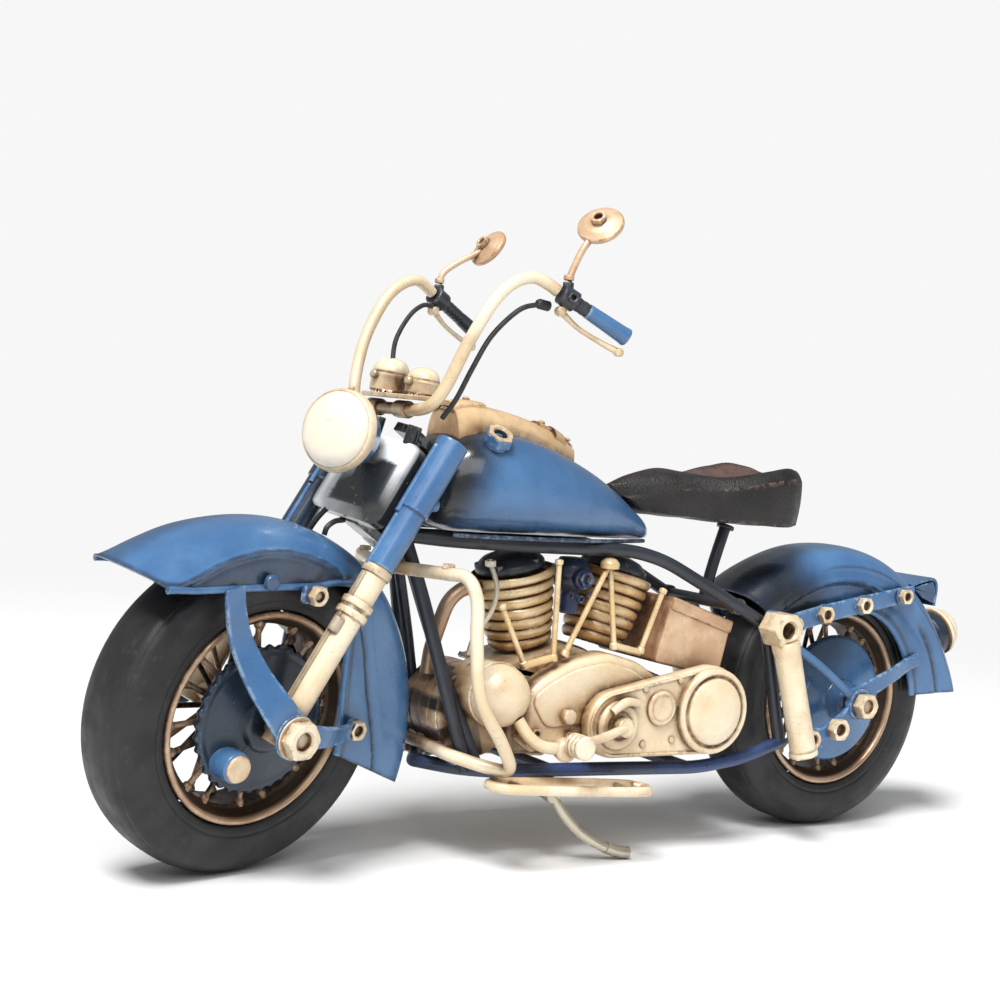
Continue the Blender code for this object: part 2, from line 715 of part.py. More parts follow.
def build_rails(root, cream):
    half = [(56.0, 0, 38.4), (55.8, 10, 38.2), (55.0, 18.4, 37.6), (46, 31, 35.4), (42.6, 36.0, 36.6),
            (48.5, 38.6, 46.0), (58.6, 40.0, 60.3), (61.8, 40.0, 78.0), (62.8, 39.6, 92.0),
            (65.0, 36.0, 98.8), (68.4, 28.0, 99.2), (74.4, 8.0, 98.8)]
    path = half + [(74.9, 0, 98.8)] + [(x, -y, z) for x, y, z in reversed(half)]
    piece("crash_bar", [tube(path + path[:1], 2.1, 6, 1, closed_loop=True)], root, cream)
    for name, side in (("left", 1), ("right", -1)):
        loop = [(16, 27.8, 28.6), (-11, 27.8, 26.6), (-16, 29.8, 26.1), (-17.8, 32.6, 26.0),
                (-16, 36.2, 26.1), (-11, 38.4, 26.4), (16, 38.4, 28.0), (40, 38.4, 29.8),
                (45.4, 36.4, 30.2), (47.2, 32.6, 30.3), (45.4, 29.6, 30.2), (40, 27.8, 29.8),
                (16, 27.8, 28.6)]
        rail = sided(tube(loop, 1.7, 6, 1, closed_loop=True), side)
        piece(f"foot_rail_{name}", [rail], root, cream)


def build_rear(root, blue, cream, silver):
    angles = [38, 46, 56, 68, 82, 97, 112, 127, 141, 155, 167, 178]
    shapes = [fender_shape(REAR_AXLE, REAR_CROWN, REAR_EDGE, FENDER_HALF, angles)]
    shapes.append(box((-172.5, 0, 97.0), (13.0, 24.0, 1.3), 22.0))
    shapes.append(box((-179.4, 0, 94.0), (1.3, 24.0, 11.0), 10.0))
    shapes.append(box((-169.0, 0, 97.0), (3.0, 10.0, 9.0), 40.0))
    piece("rear_fender", shapes, root, blue)
    out = Vector((-math.cos(math.radians(20)), 0, math.sin(math.radians(20))))
    at = Vector(REAR_AXLE) + out * 68.2
    lamp = [(9.2, 0), (9.2, 4.2), (10.2, 4.4), (10.2, 6.6), (8.4, 9.8), (5.0, 12.2), (0, 13.2)]
    piece("tail_lamp", [turned(lamp, at, out, 22)], root, cream)

    axle = [rod((REAR_AXLE[0], -31.0, REAR_AXLE[2]), (REAR_AXLE[0], 31.0, REAR_AXLE[2]), AXLE_R, 16)]
    for side in (1, -1):
        axle.append(sided(hex_nut((REAR_AXLE[0], 28.2, REAR_AXLE[2]), (0, 1, 0), 5.0, 4.0), side))
    piece("rear_axle", axle, root, silver)
    for name, side in (("left", 1), ("right", -1)):
        bands = [strap([(-90, 20.6, 82.4), (-107, 20.6, 86.6), (-128, 20.4, 90.6),
                        (-150, 19.8, 94.4), (-157, 19.6, 95.6)], 6.4, 1.4, 2)]
        for x, z in ((-91.5, 82.8), (-107.3, 86.8), (-127.9, 90.6), (-150.3, 94.4)):
            bands.append(hex_nut((x, 20.8, z), (0, 1, 0), 3.4, 3.4))
        for x, z in ((-107.3, 86.8), (-127.9, 90.6), (-150.3, 94.4)):
            bands.append(rod((x, 18.3, z), (x, 21.4, z), 1.8, 8))
        piece(f"rear_strap_{name}", [sided(s, side) for s in bands], root, blue)

        arm = [rod((REAR_AXLE[0], 24.6, REAR_AXLE[2]), (REAR_AXLE[0], 27.8, REAR_AXLE[2]), 6.2, 16)]
        arm.append(strap([(-126, 26.2, 53), (-118, 26.2, 46), (-108, 26.2, 41.4), (-99.6, 26.2, 39.4)],
                         5.6, 1.8, 2))
        arm.append(rod((-99.6, 25.2, 39.4), (-99.6, 30.6, 39.4), 3.6, 6))
        arm.append(rod((-113.5, 26.0, 43.6), (-113.5, 30.8, 43.6), 4.3, 6))
        arm.append(tube([(-89.4, 23.6, 75.4), (-104, 25.6, 67.0), (-122, 26.0, 55.0)], 1.6, 8, 2))
        arm.append(strap([(-124, 26.0, 55), (-136, 25.4, 60.0), (-148, 21.2, 63.4), (-162, 18.9, 67.6)],
                         5.6, 1.4, 3))
        hole = rod((REAR_AXLE[0], 20.0, REAR_AXLE[2]), (REAR_AXLE[0], 30.0, REAR_AXLE[2]), BORE_R, 16)
        cut = [sided(hole, side)]
        piece(f"rear_arm_{name}", [sided(s, side) for s in arm], root, blue, cut)

        shock = [turned([(5.2, 0), (5.4, 1.0), (5.0, 3.0), (5.0, 40.0), (5.4, 44.6)],
                        (-91.8, 33.4, 34.6), (11.6, -2.4, 41.0), 16)]
        shock.append(hex_nut((-78.2, 25.0, 81.8), (0, 1, 0), 6.8, 9.6))
        piece(f"shock_{name}", [sided(s, side) for s in shock], root, cream,
              [sided(rod((-78.2, 31.0, 81.8), (-78.2, 36.0, 81.8), 3.0, 12), side)])


def build_wheel(frame, at, which, rubber, bronze):
    piece(f"{which}_tyre", [hoop(tyre_section(), at, 32)], frame, rubber, sharp=60)
    bore = rod(Vector(at) - Vector((0, 20, 0)), Vector(at) + Vector((0, 20, 0)), BORE_R, 16)
    piece(f"{which}_rim", wheel_shapes(at, 9.0), frame, bronze, [bore])


def build_rear_disc(frame, blue):
    at = Vector(REAR_AXLE)
    disc = [(24.6, 9.5), (25.0, 11.0), (23.6, 12.8), (8.0, 16.0), (7.0, 22.0), (5.4, 23.6)]
    cuts = [rod(at, at + Vector((0, 40, 0)), BORE_R, 16)]
    for x, z in ((1.0, 11.6), (13.2, 4.8), (-3.4, -14.6)):
        hole_at = at + Vector((x, 5.0, z))
        cuts.append(rod(hole_at, hole_at + Vector((0, 15, 0)), 2.4, 8))
    piece("rear_disc", [turned(disc, at, (0, 1, 0), 22)], frame, blue, cuts)


def build_steering(steer, blue, cream, dark, silver):
    for name, side in (("left", 1), ("right", -1)):
        low, top = fork_point(50.0, side), fork_point(103.4, side)
        lower = [rod(low, top, FORK_R, 12)]
        knee = fork_point(88.0, side)
        lower.append(turned([(4.4, 0), (5.2, 0.8), (5.2, 4.6), (4.4, 5.4)], knee, STEER_AXIS, 12))
        hole = rod((FRONT_AXLE[0], side * 15.0, FRONT_AXLE[2]), (FRONT_AXLE[0], side * 32.0, FRONT_AXLE[2]),
                   BORE_R, 16)
        piece(f"fork_tube_{name}", lower, steer, cream, [hole])
        foot, step, head = fork_point(103.8, side), fork_point(122.0, side), fork_point(144.4, side)
        lower_long, full = (step - foot).length, (head - foot).length
        sleeve = [(4.7, 0), (4.7, lower_long), (SLEEVE_R, lower_long + 0.3), (SLEEVE_R, full)]
        piece(f"fork_sleeve_{name}", [turned(sleeve, foot, STEER_AXIS, 16)], steer, blue)

    shapes = []
    for z in (104.9, 135.2):
        low = steer_point(z)
        shapes.append(turned([(6.2, 0), (6.2, 3.2)], low, STEER_AXIS, 16))
        middle = low + STEER_AXIS * 1.6 + Vector((math.cos(math.radians(RAKE)), 0, math.sin(math.radians(RAKE)))) * 9.0
        shapes.append(box(middle, (18.0, 9.0, 3.2), -RAKE))
    panel_at = fork_point(128.0, 1)
    shapes.insert(0, box((panel_at.x + 4.0, 0, panel_at.z), (5.0, 34.6, 30.0), -RAKE))
    shapes.append(rod(steer_point(106.0), steer_point(137.0), 2.8, 14))
    shapes += [rod((80.6, y, 138.0), (78.6, y, 147.2), 2.4, 8) for y in (-9.0, 9.0)]
    piece("nacelle", shapes, steer, dark)

    line = [(95.0, 0, 113.8), (99.0, 0.4, 113.4), (102.2, 0.8, 111.6), (102.8, 0.6, 109.0)]
    piece("brake_line", [tube(line, 0.8, 6, 3)], steer, dark)
    facing = Matrix.Rotation(math.radians(14.0), 3, "Z") @ Vector((1.0, 0.0, 0.2)).normalized()
    lens_at = Vector((103.4, 0.0, 143.2))
    shell = [(3.0, -18.0), (6.5, -14.6), (10.2, -10.0), (12.2, -4.0), (12.6, -1.6), (13.2, -1.4),
             (13.2, -0.2), (11.6, -0.2)]
    shapes = [turned(shell, lens_at, facing, 24)]
    piece("headlight_shell", shapes, steer, blue)
    lens = [(12.9, 0.1), (12.9, 1.4), (12.0, 2.6), (9.0, 4.6), (5.0, 5.9), (0, 6.3)]
    piece("headlight_lens", [turned(lens, lens_at, facing, 24)], steer, cream)

    drum = [(23.6, 9.7), (24.2, 11.0), (23.4, 12.4), (9.0, 15.6), (8.0, 17.2)]
    at = Vector(FRONT_AXLE)
    boss = rod(at + Vector((12.6, 12.0, -11.8)), at + Vector((12.6, 20.6, -11.8)), 5.0, 16)
    hole = rod(at, at + Vector((0, 40, 0)), BORE_R, 16)
    piece("front_drum", [turned(drum, at, (0, 1, 0), 24), boss], steer, dark, [hole])
    axle = [rod(at + Vector((0, -33.4, 0)), at + Vector((0, 33.4, 0)), AXLE_R, 16)]
    for side in (1, -1):
        nut = hex_nut((0, 30.4, 0), (0, 1, 0), 6.2, 3.6)
        points, faces = sided(nut, side)
        axle.append(([at + p for p in points], faces))
    piece("front_axle", axle, steer, silver)


def build_front_guard(steer, blue):
    angles = [44, 48, 54, 64, 77, 92, 107, 118, 124, 134, 148, 165, 184, 204]
    shape = fender_shape(FRONT_AXLE, FRONT_CROWN, FRONT_EDGE, FENDER_HALF, angles, FRONT_FLARE)
    piece("front_fender", [shape], steer, blue)
    for name, side in (("left", 1), ("right", -1)):
        arm = [(148.6, 15.0, 96.0), (146.4, 15.4, 88.0), (142.0, 18.6, 78.0), (135.6, 25.0, 66.0),
               (130.4, 29.0, 57.0), (126.5, 29.0, 52.4)]
        back = [(126.5, 29.0, 52.4), (114.0, 29.0, 51.6), (104.0, 24.0, 50.4), (93.0, 19.2, 49.2)]
        shapes = [strap(arm, 7.6, 1.5, 2), strap(back, 6.0, 1.5, 2)]
        shapes.append(rod((FRONT_AXLE[0], 28.3, FRONT_AXLE[2]), (FRONT_AXLE[0], 29.8, FRONT_AXLE[2]), 6.4, 18))
        shapes.append(hex_nut((94.8, 19.6, 49.4), (0, 1, 0), 3.4, 3.4))
        hole = rod((FRONT_AXLE[0], 20.0, FRONT_AXLE[2]), (FRONT_AXLE[0], 36.0, FRONT_AXLE[2]), BORE_R, 16)
        cut = [sided(hole, side)]
        piece(f"front_stay_{name}", [sided(s, side) for s in shapes], steer, blue, cut)


GRIP_START = Vector((42.4, 38.4, 193.6))
GRIP_END = Vector((17.8, 44.6, 181.4))


def build_bars(bars, cream, dark, silver):
    half = [(78.6, 0, 151.0), (78.8, 16, 151.2), (78.0, 24.6, 153.4), (76.0, 29.4, 160.0),
            (71.6, 33.0, 174.0), (64.6, 34.6, 187.6), (58.0, 35.2, 194.4), (51.4, 36.0, 197.0),
            (46.6, 37.2, 195.8), (43.0, 38.2, 193.9)]
    path = [(x, -y, z) for x, y, z in reversed(half[1:])] + half
    piece("handlebar", [tube(path, BAR_R, 8, 1)], bars, cream)
    plinth = box((76.0, 3.0, 155.2), (15.0, 29.0, 1.6))
    shapes = [plinth]
    shapes.append(turned([(6.0, 0), (6.4, 6.4), (5.6, 9.4), (3.2, 11.4), (0, 12.0)],
                         (77.0, -5.0, 155.6), (-0.1, 0, 1), 18))
    shapes.append(turned([(5.2, 0), (5.6, 5.0), (4.4, 8.0), (0, 9.4)], (74.0, 11.0, 155.6), (-0.1, 0, 1), 18))
    piece("gauge_pair", shapes, bars, cream)
    along = (GRIP_END - GRIP_START).normalized()
    reach = (GRIP_END - GRIP_START).length
    drop = along.cross(Vector((0, 0, -1))).normalized()
    below = drop.cross(along).normalized()
    if below.z > 0:
        below = -below
    for name, side in (("left", 1), ("right", -1)):
        grip = [(2.9, 1.3), (3.4, 1.0), (3.4, 7.0), (2.4, 7.4), (2.2, 14.0), (2.9, reach), (2.2, reach + 0.6)]
        shapes = [turned(grip, GRIP_START, along, 10)]
        lug_at = GRIP_START + along * 4.0
        shapes.append(rod(lug_at, lug_at + below * 3.2, 1.9, 10))
        stalk_at = GRIP_START + along * 3.6
        shapes.append(rod(stalk_at, stalk_at + Vector((0, 0, 5.0)), 1.9, 10))
        piece(f"grip_{name}", [sided(s, side) for s in shapes], bars, dark)

        pivot = lug_at + below * 5.1
        pivot_here = pivot if side > 0 else Vector((pivot.x, -pivot.y, pivot.z))
        hinge = Frame(f"lever_hinge_{name}", pivot_here, bars)
        blade = [pivot, pivot + along * 8.0 + below * 1.4, pivot + along * 17.0 + below * 1.2,
                 pivot + along * 24.5 + below * 0.5]
        shapes = [rod(pivot - drop * 1.6, pivot + drop * 1.6, 1.6, 8), tube(blade, 1.05, 6, 2)]
        shapes.append(rod(blade[-1] - drop * 1.3, blade[-1] + drop * 1.3, 1.4, 8))
        piece(f"lever_{name}", [sided(s, side) for s in shapes], hinge, silver)

        base = stalk_at + Vector((0, 0, 5.4))
        base_here = base if side > 0 else Vector((base.x, -base.y, base.z))
        swivel = Frame(f"mirror_swivel_{name}", base_here, bars)
        if side > 0:
            facing, reach_to, elbow = Vector((0.67, 0.42, 0.61)), Vector((-9.6, 1.2, 19.8)), Vector((-4.0, 0.6, 10.4))
        else:
            facing, reach_to, elbow = Vector((0.84, -0.02, 0.54)), Vector((-17.4, -2.6, 15.6)), Vector((-7.0, -0.8, 8.6))
        facing.normalize()
        stalk = [base, base + Vector((-1.4, 0.0, 4.0)), base + elbow, base + reach_to * 0.86]
        disc_at = base + reach_to - facing * 0.8
        shapes = [tube(stalk, 1.1, 6, 2)]
        shapes.append(turned([(6.6, -0.9), (7.6, 0), (7.6, 1.0), (5.0, 2.4)], disc_at, facing, 18))
        shapes.append(hex_nut(disc_at + facing * 2.0, facing, 2.5, 2.2))
        shapes.append(rod(stalk[-1], disc_at + facing * 2.2, 1.2, 8))
        piece(f"mirror_{name}", [sided(s, side) for s in shapes], swivel, cream)

    cable = [(45.2, 35.4, 189.0), (55.0, 35.0, 186.0), (63.4, 33.6, 177.0), (69.0, 32.6, 166.0),
             (72.0, 29.6, 156.0), (73.6, 24.8, 149.4)]
    piece("cable_left", [tube(cable, 0.85, 6, 2)], bars, dark)
    cable = [(45.2, -35.4, 189.0), (54.0, -33.6, 184.0), (61.6, -28.6, 175.0), (66.6, -21.0, 166.0),
             (68.8, -15.0, 158.4)]
    piece("cable_right", [tube(cable, 0.85, 6, 2)], bars, dark)


main()
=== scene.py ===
"""Surfaces and finishes for a handmade tin motorcycle, built on its fixed frame.

Lengths in the tables are millimetres on the drawing: +X forward, +Y the left side,
+Z up, ground at zero. Every point is turned with its group and moved into metres
before it goes into a mesh, so each finished object sits at the origin.
"""

import json
import math

import bmesh
import bpy
import numpy as np
from bpy.props import FloatProperty, FloatVectorProperty, IntProperty, PointerProperty
from mathutils import Matrix

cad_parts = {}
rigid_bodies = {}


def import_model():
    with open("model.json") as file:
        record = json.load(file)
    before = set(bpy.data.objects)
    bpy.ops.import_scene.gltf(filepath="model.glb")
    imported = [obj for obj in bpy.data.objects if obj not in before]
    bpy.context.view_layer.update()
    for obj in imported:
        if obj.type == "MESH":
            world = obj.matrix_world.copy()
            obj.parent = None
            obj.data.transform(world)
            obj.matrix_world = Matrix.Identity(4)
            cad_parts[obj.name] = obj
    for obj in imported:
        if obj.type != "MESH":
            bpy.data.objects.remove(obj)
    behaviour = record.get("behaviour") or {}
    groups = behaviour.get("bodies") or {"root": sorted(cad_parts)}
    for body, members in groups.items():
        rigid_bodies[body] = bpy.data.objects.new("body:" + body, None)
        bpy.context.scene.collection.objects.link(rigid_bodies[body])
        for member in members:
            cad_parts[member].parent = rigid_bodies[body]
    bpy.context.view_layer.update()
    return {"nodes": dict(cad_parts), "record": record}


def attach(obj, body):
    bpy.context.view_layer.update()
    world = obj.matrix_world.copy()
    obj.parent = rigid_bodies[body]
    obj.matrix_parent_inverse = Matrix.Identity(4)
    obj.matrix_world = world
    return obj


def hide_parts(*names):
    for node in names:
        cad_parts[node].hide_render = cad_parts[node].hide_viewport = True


bl_info = {
    "name": "Tin motorcycle",
    "version": (1, 0, 0),
    "blender": (4, 5, 0),
    "location": "3D View > Sidebar > Tin motorcycle",
    "description": "Builds the enamelled surfaces of a handmade tin motorcycle",
    "category": "Object",
}

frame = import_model()

MM = 0.001
ORIGIN = np.array([10.34, 0.48, 0.0])
RAKE = math.radians(29.9)
LEG_AHEAD, LEG_OUT = 18.5, 23.2
STEER_AXIS = np.array([-math.sin(RAKE), 0.0, math.cos(RAKE)])
FRONT_AXLE = np.array([126.5, 0.0, 52.6])
REAR_AXLE = np.array([-125.8, 0.0, 52.0])
ALONG_Y = (0.0, 1.0, 0.0)
SIDES = (("left", 1), ("right", -1))
BLUE, BLACK, CREAM = "blue_paint", "black_paint", "antique_cream"
BRONZE, RUBBER, SADDLE, STEEL = "bronze", "tyre", "saddle", "steel"


# ---- placing ----


def unit(vector):
    """A vector over its own length."""
    vector = np.asarray(vector, float)
    return vector / np.linalg.norm(vector, axis=-1, keepdims=True)


def turn(axis, degrees):
    """The matrix that turns by an angle about a unit axis: cosine, cross-product and outer-product terms."""
    x, y, z = unit(axis)
    cross = np.array([[0, -z, y], [z, 0, -x], [-y, x, 0]])
    angle = math.radians(degrees)
    return np.eye(3) + math.sin(angle) * cross + (1 - math.cos(angle)) * cross @ cross


def steer_point(z):
    """The steering axis at a height: x goes back by z times the tangent of the rake."""
    return np.array([138.8 - z * math.tan(RAKE), 0.0, z])


def fork_point(z, side=1.0):
    """A fork leg's centre at a height: the axis's point, moved ahead and out to its side."""
    return steer_point(z) + np.array([LEG_AHEAD, side * LEG_OUT, 0.0])


STEER_ORIGIN = steer_point(128.0)
GROUPS = {"body": np.eye(3), "fork": turn(STEER_AXIS, 15.0), "bars": turn(STEER_AXIS, 2.0)}


def placed(points, group):
    """Drawing millimetres to metres in the frame, turned about the steering axis with the group."""
    about = np.asarray(points, float) - STEER_ORIGIN
    return (about @ GROUPS[group].T + STEER_ORIGIN + ORIGIN) * MM


def mirrored(points, side=-1):
    """The points with y times the side."""
    return np.asarray(points, float) * np.array([1.0, side, 1.0])


# ---- curves and surfaces: arrays in, arrays out ----


def curve(points, per=8, closed=False):
    """Points through the given ones: on each span the Catmull-Rom cubic, evaluated at per steps."""
    p = np.asarray(points, float)
    if closed:
        ends = np.concatenate([p[-1:], p, p[:2]])
    else:
        ends = np.concatenate([2 * p[:1] - p[1:2], p, 2 * p[-1:] - p[-2:-1]])
    a, b, c, d = (ends[k : len(ends) - 3 + k][:, None] for k in range(4))
    t = (np.arange(per) / per)[None, :, None]
    cubic = 2 * b + (c - a) * t + (2 * a - 5 * b + 4 * c - d) * t**2 + (3 * b - a - 3 * c + d) * t**3
    flat = 0.5 * cubic.reshape(-1, p.shape[1])
    return flat if closed else np.concatenate([flat, p[-1:]])


def with_flats(points, closed=False, margin=0.8):
    """Two more points a margin in from the ends of each long straight, so that wear stays at the corners."""
    after = np.roll(points, -1, 0) if closed else np.concatenate([points[1:], points[-1:]])
    way = after - points
    long = np.linalg.norm(way, axis=1)
    share = (margin / np.maximum(long, 1e-9))[:, None]
    rows = np.stack([points, points + way * share, after - way * share], 1)
    keep = np.stack([long > -1, long > 3 * margin, long > 3 * margin], 1)
    return rows[keep]


def soften(points, radius, steps=4, closed=False):
    """Corners rounded: each inner corner becomes a parabola between points one radius along its two sides."""
    p = np.asarray(points, float)
    before, after = (np.roll(p, 1, 0), np.roll(p, -1, 0)) if closed else (p[:-2], p[2:])
    middle = p if closed else p[1:-1]
    back, ahead = before - middle, after - middle
    long_back = np.linalg.norm(back, axis=1, keepdims=True)
    long_ahead = np.linalg.norm(ahead, axis=1, keepdims=True)
    first = middle + back / long_back * np.minimum(radius, 0.45 * long_back)
    last = middle + ahead / long_ahead * np.minimum(radius, 0.45 * long_ahead)
    s = np.linspace(0, 1, steps)[None, :, None]
    bend = (1 - s) ** 2 * first[:, None] + 2 * s * (1 - s) * middle[:, None] + s**2 * last[:, None]
    flat = bend.reshape(-1, p.shape[1])
    return with_flats(flat if closed else np.concatenate([p[:1], flat, p[-1:]]), closed)


def table(rows, at):
    """Values between a table's rows: monotone in its first column, a smooth cubic through the rest."""
    rows = np.asarray(rows, float)
    x = np.clip(np.asarray(at, float), rows[0, 0], rows[-1, 0])
    i = np.clip(np.searchsorted(rows[:, 0], x, "right") - 1, 0, len(rows) - 2)
    slopes = np.gradient(rows[:, 1:], rows[:, 0], axis=0)
    wide = (rows[i + 1, 0] - rows[i, 0])[..., None]
    t = (x - rows[i, 0])[..., None] / wide
    a, b = rows[i, 1:], rows[i + 1, 1:]
    out = (2 * t**3 - 3 * t**2 + 1) * a + (t**3 - 2 * t**2 + t) * wide * slopes[i]
    out += (3 * t**2 - 2 * t**3) * b + (t**3 - t**2) * wide * slopes[i + 1]
    return out[..., 0] if rows.shape[1] == 2 else out


def step(value, low, high):
    """Zero below low, one above high, and a smooth cubic between."""
    t = np.clip((np.asarray(value, float) - low) / (high - low), 0, 1)
    return t * t * (3 - 2 * t)


def square_to(direction):
    """Two unit vectors square to a direction, the first level."""
    d = unit(direction)
    first = np.cross((0, 0, 1), d)
    first = unit(first) if np.linalg.norm(first) > 1e-6 else np.array([1.0, 0, 0])
    return first, np.cross(d, first), d


def lathe(profile, at, direction, sides=64, phase=0.0):
    """A profile of (radius, height) turned about a line: at + height d + radius (u cos a + v sin a)."""
    u, v, d = square_to(direction)
    a = 2 * np.pi * np.arange(sides) / sides + phase
    spoke = np.cos(a)[:, None] * u + np.sin(a)[:, None] * v
    profile = np.asarray(profile, float)
    return np.asarray(at, float) + profile[:, None, 1:] * d + profile[:, None, :1] * spoke


def hoop(section, at, sides=128):
    """A closed (radius, y) section carried round a level axle: at + (r cos a, y, r sin a)."""
    section = np.asarray(section, float)
    a = 2 * np.pi * np.arange(sides) / sides
    r, y = section[None, :, 0], section[None, :, 1]
    grid = np.stack([r * np.cos(a)[:, None], y + 0 * a[:, None], r * np.sin(a)[:, None]], -1)
    return np.asarray(at, float) + grid


def carried(path, section, up=None, closed=False):
    """A closed (a, b) section carried along a path; with no up, its axes turn as little as they can."""
    path = np.asarray(path, float)
    if closed:
        tangents = unit(np.roll(path, -1, 0) - np.roll(path, 1, 0))
    else:
        tangents = unit(np.gradient(path, axis=0))
    if up is not None:
        side = unit(np.cross(tangents, np.asarray(up, float)))
    else:
        least = np.linalg.svd(tangents, full_matrices=False)[2][-1]
        side = unit(least - tangents * (tangents @ least)[:, None])
    other = np.cross(tangents, side)
    section = np.asarray(section, float)
    if section.ndim == 2:
        section = np.broadcast_to(section, (len(path), *section.shape))
    return path[:, None] + side[:, None] * section[..., :1] + other[:, None] * section[..., 1:]


def ring(radius, sides=20):
    """A circle of points; radius may be one number, or one for each station of a path."""
    a = 2 * np.pi * np.arange(sides) / sides
    circle = np.stack([np.cos(a), np.sin(a)], -1)
    return circle * radius if np.ndim(radius) == 0 else circle[None] * np.asarray(radius)[:, None, None]


def tube(points, radius, per=6, bend=0.0, closed=False, sides=20):
    """A round bar along points, either through them or with its corners bent to a radius."""
    path = soften(points, bend, 9, closed) if bend else curve(points, per, closed)
    return carried(path, ring(radius, sides), closed=closed)


def plank(width, thickness, edge=0.35):
    """A flat bar's section, its four corners rounded."""
    w, t = width / 2, thickness / 2
    return soften([(-w, -t), (w, -t), (w, t), (-w, t)], edge, 4, True)


def ribbon(points, widths, thickness, up=ALONG_Y, per=8):
    """A flat bar through points whose width changes along it; its broad face looks along up."""
    path = curve(points, per)
    stations = np.linspace(0, 1, len(path))
    wide = np.interp(stations, np.linspace(0, 1, len(widths)), widths)
    sections = np.stack([plank(w, thickness) for w in wide])
    return carried(path, sections, up)


def slab(outline, y0, y1, edge=1.0, steps=5):
    """An (x, z) outline carried from y0 to y1; near both faces a quarter circle draws it in."""
    outline = np.asarray(outline, float)
    along = unit(np.roll(outline, -1, 0) - np.roll(outline, 1, 0))
    inward = np.stack([-along[:, 1], along[:, 0]], -1)
    x, z = outline.T
    if np.sum(x * np.roll(z, -1) - np.roll(x, -1) * z) < 0:
        inward = -inward
    t = np.linspace(0, np.pi / 2, steps)
    inset = edge * (1 - np.sin(t))
    depth = edge * (1 - np.cos(t))
    margin = [edge + 0.4]
    inset = np.concatenate([margin, inset, inset[::-1], margin])
    y = np.concatenate([[y0], y0 + depth, (y1 - depth)[::-1], [y1]])
    flat = outline[None] + inward[None] * inset[:, None, None]
    return np.stack([flat[..., 0], np.broadcast_to(y[:, None], flat.shape[:2]), flat[..., 1]], -1)


def hexagon(angle):
    """The distance to a unit hexagon's side in each direction, one at its corners."""
    return math.cos(math.pi / 6) / np.cos((angle % (math.pi / 3)) - math.pi / 6)


def nut(at, direction, radius, thickness, hole=0.52, sides=72):
    """A hexagon with a chamfered top and a countersunk hole, as rings of (share of radius, height)."""
    u, v, d = square_to(direction)
    a = 2 * np.pi * np.arange(sides) / sides
    hexed = hexagon(a)
    low = 0.12 * radius
    rows = [
        (hexed * 0.97, 0), (hexed, 0.25 * low), (hexed, thickness - 1.3 * low),
        (np.minimum(hexed, 0.955), thickness - 0.4 * low), (np.minimum(hexed, 0.86), thickness),
        (0 * a + hole * 1.24, thickness), (0 * a + hole, thickness - low), (0 * a + hole, 0),
    ]
    spoke = np.cos(a)[:, None] * u + np.sin(a)[:, None] * v
    return np.stack([np.asarray(at, float) + d * h + spoke * (r * radius)[:, None] for r, h in rows])


def around(c0, r0, c1, r1, steps=24):
    """The outline round two circles: the two arcs that their outer tangents leave."""
    a, b = np.asarray(c0, float), np.asarray(c1, float)
    heading = math.atan2(*(b - a)[::-1])
    lean = math.acos((r0 - r1) / np.linalg.norm(b - a))
    s = np.linspace(0, 1, steps)[:, None]
    first = heading + lean + (2 * np.pi - 2 * lean) * s
    last = heading - lean + 2 * lean * s
    arcs = [c + r * np.hstack([np.cos(t), np.sin(t)]) for c, r, t in ((a, r0, first), (b, r1, last))]
    return np.concatenate(arcs)


def normals_of(grid):
    """The unit normal at each point of a grid, from the differences along its two directions."""
    return unit(np.cross(np.gradient(grid, axis=0), np.gradient(grid, axis=1)))


def rolling(shape, scale, seed):
    """A few slow waves of random heading and phase over an array of points, about one high."""
    draw = np.random.default_rng(seed)
    waves = draw.normal(size=(5, 3)) / scale
    phases = draw.uniform(0, 2 * np.pi, 5)
    return np.sin(shape @ waves.T + phases).sum(-1) / 3.2


# ---- gathering surfaces into pieces ----


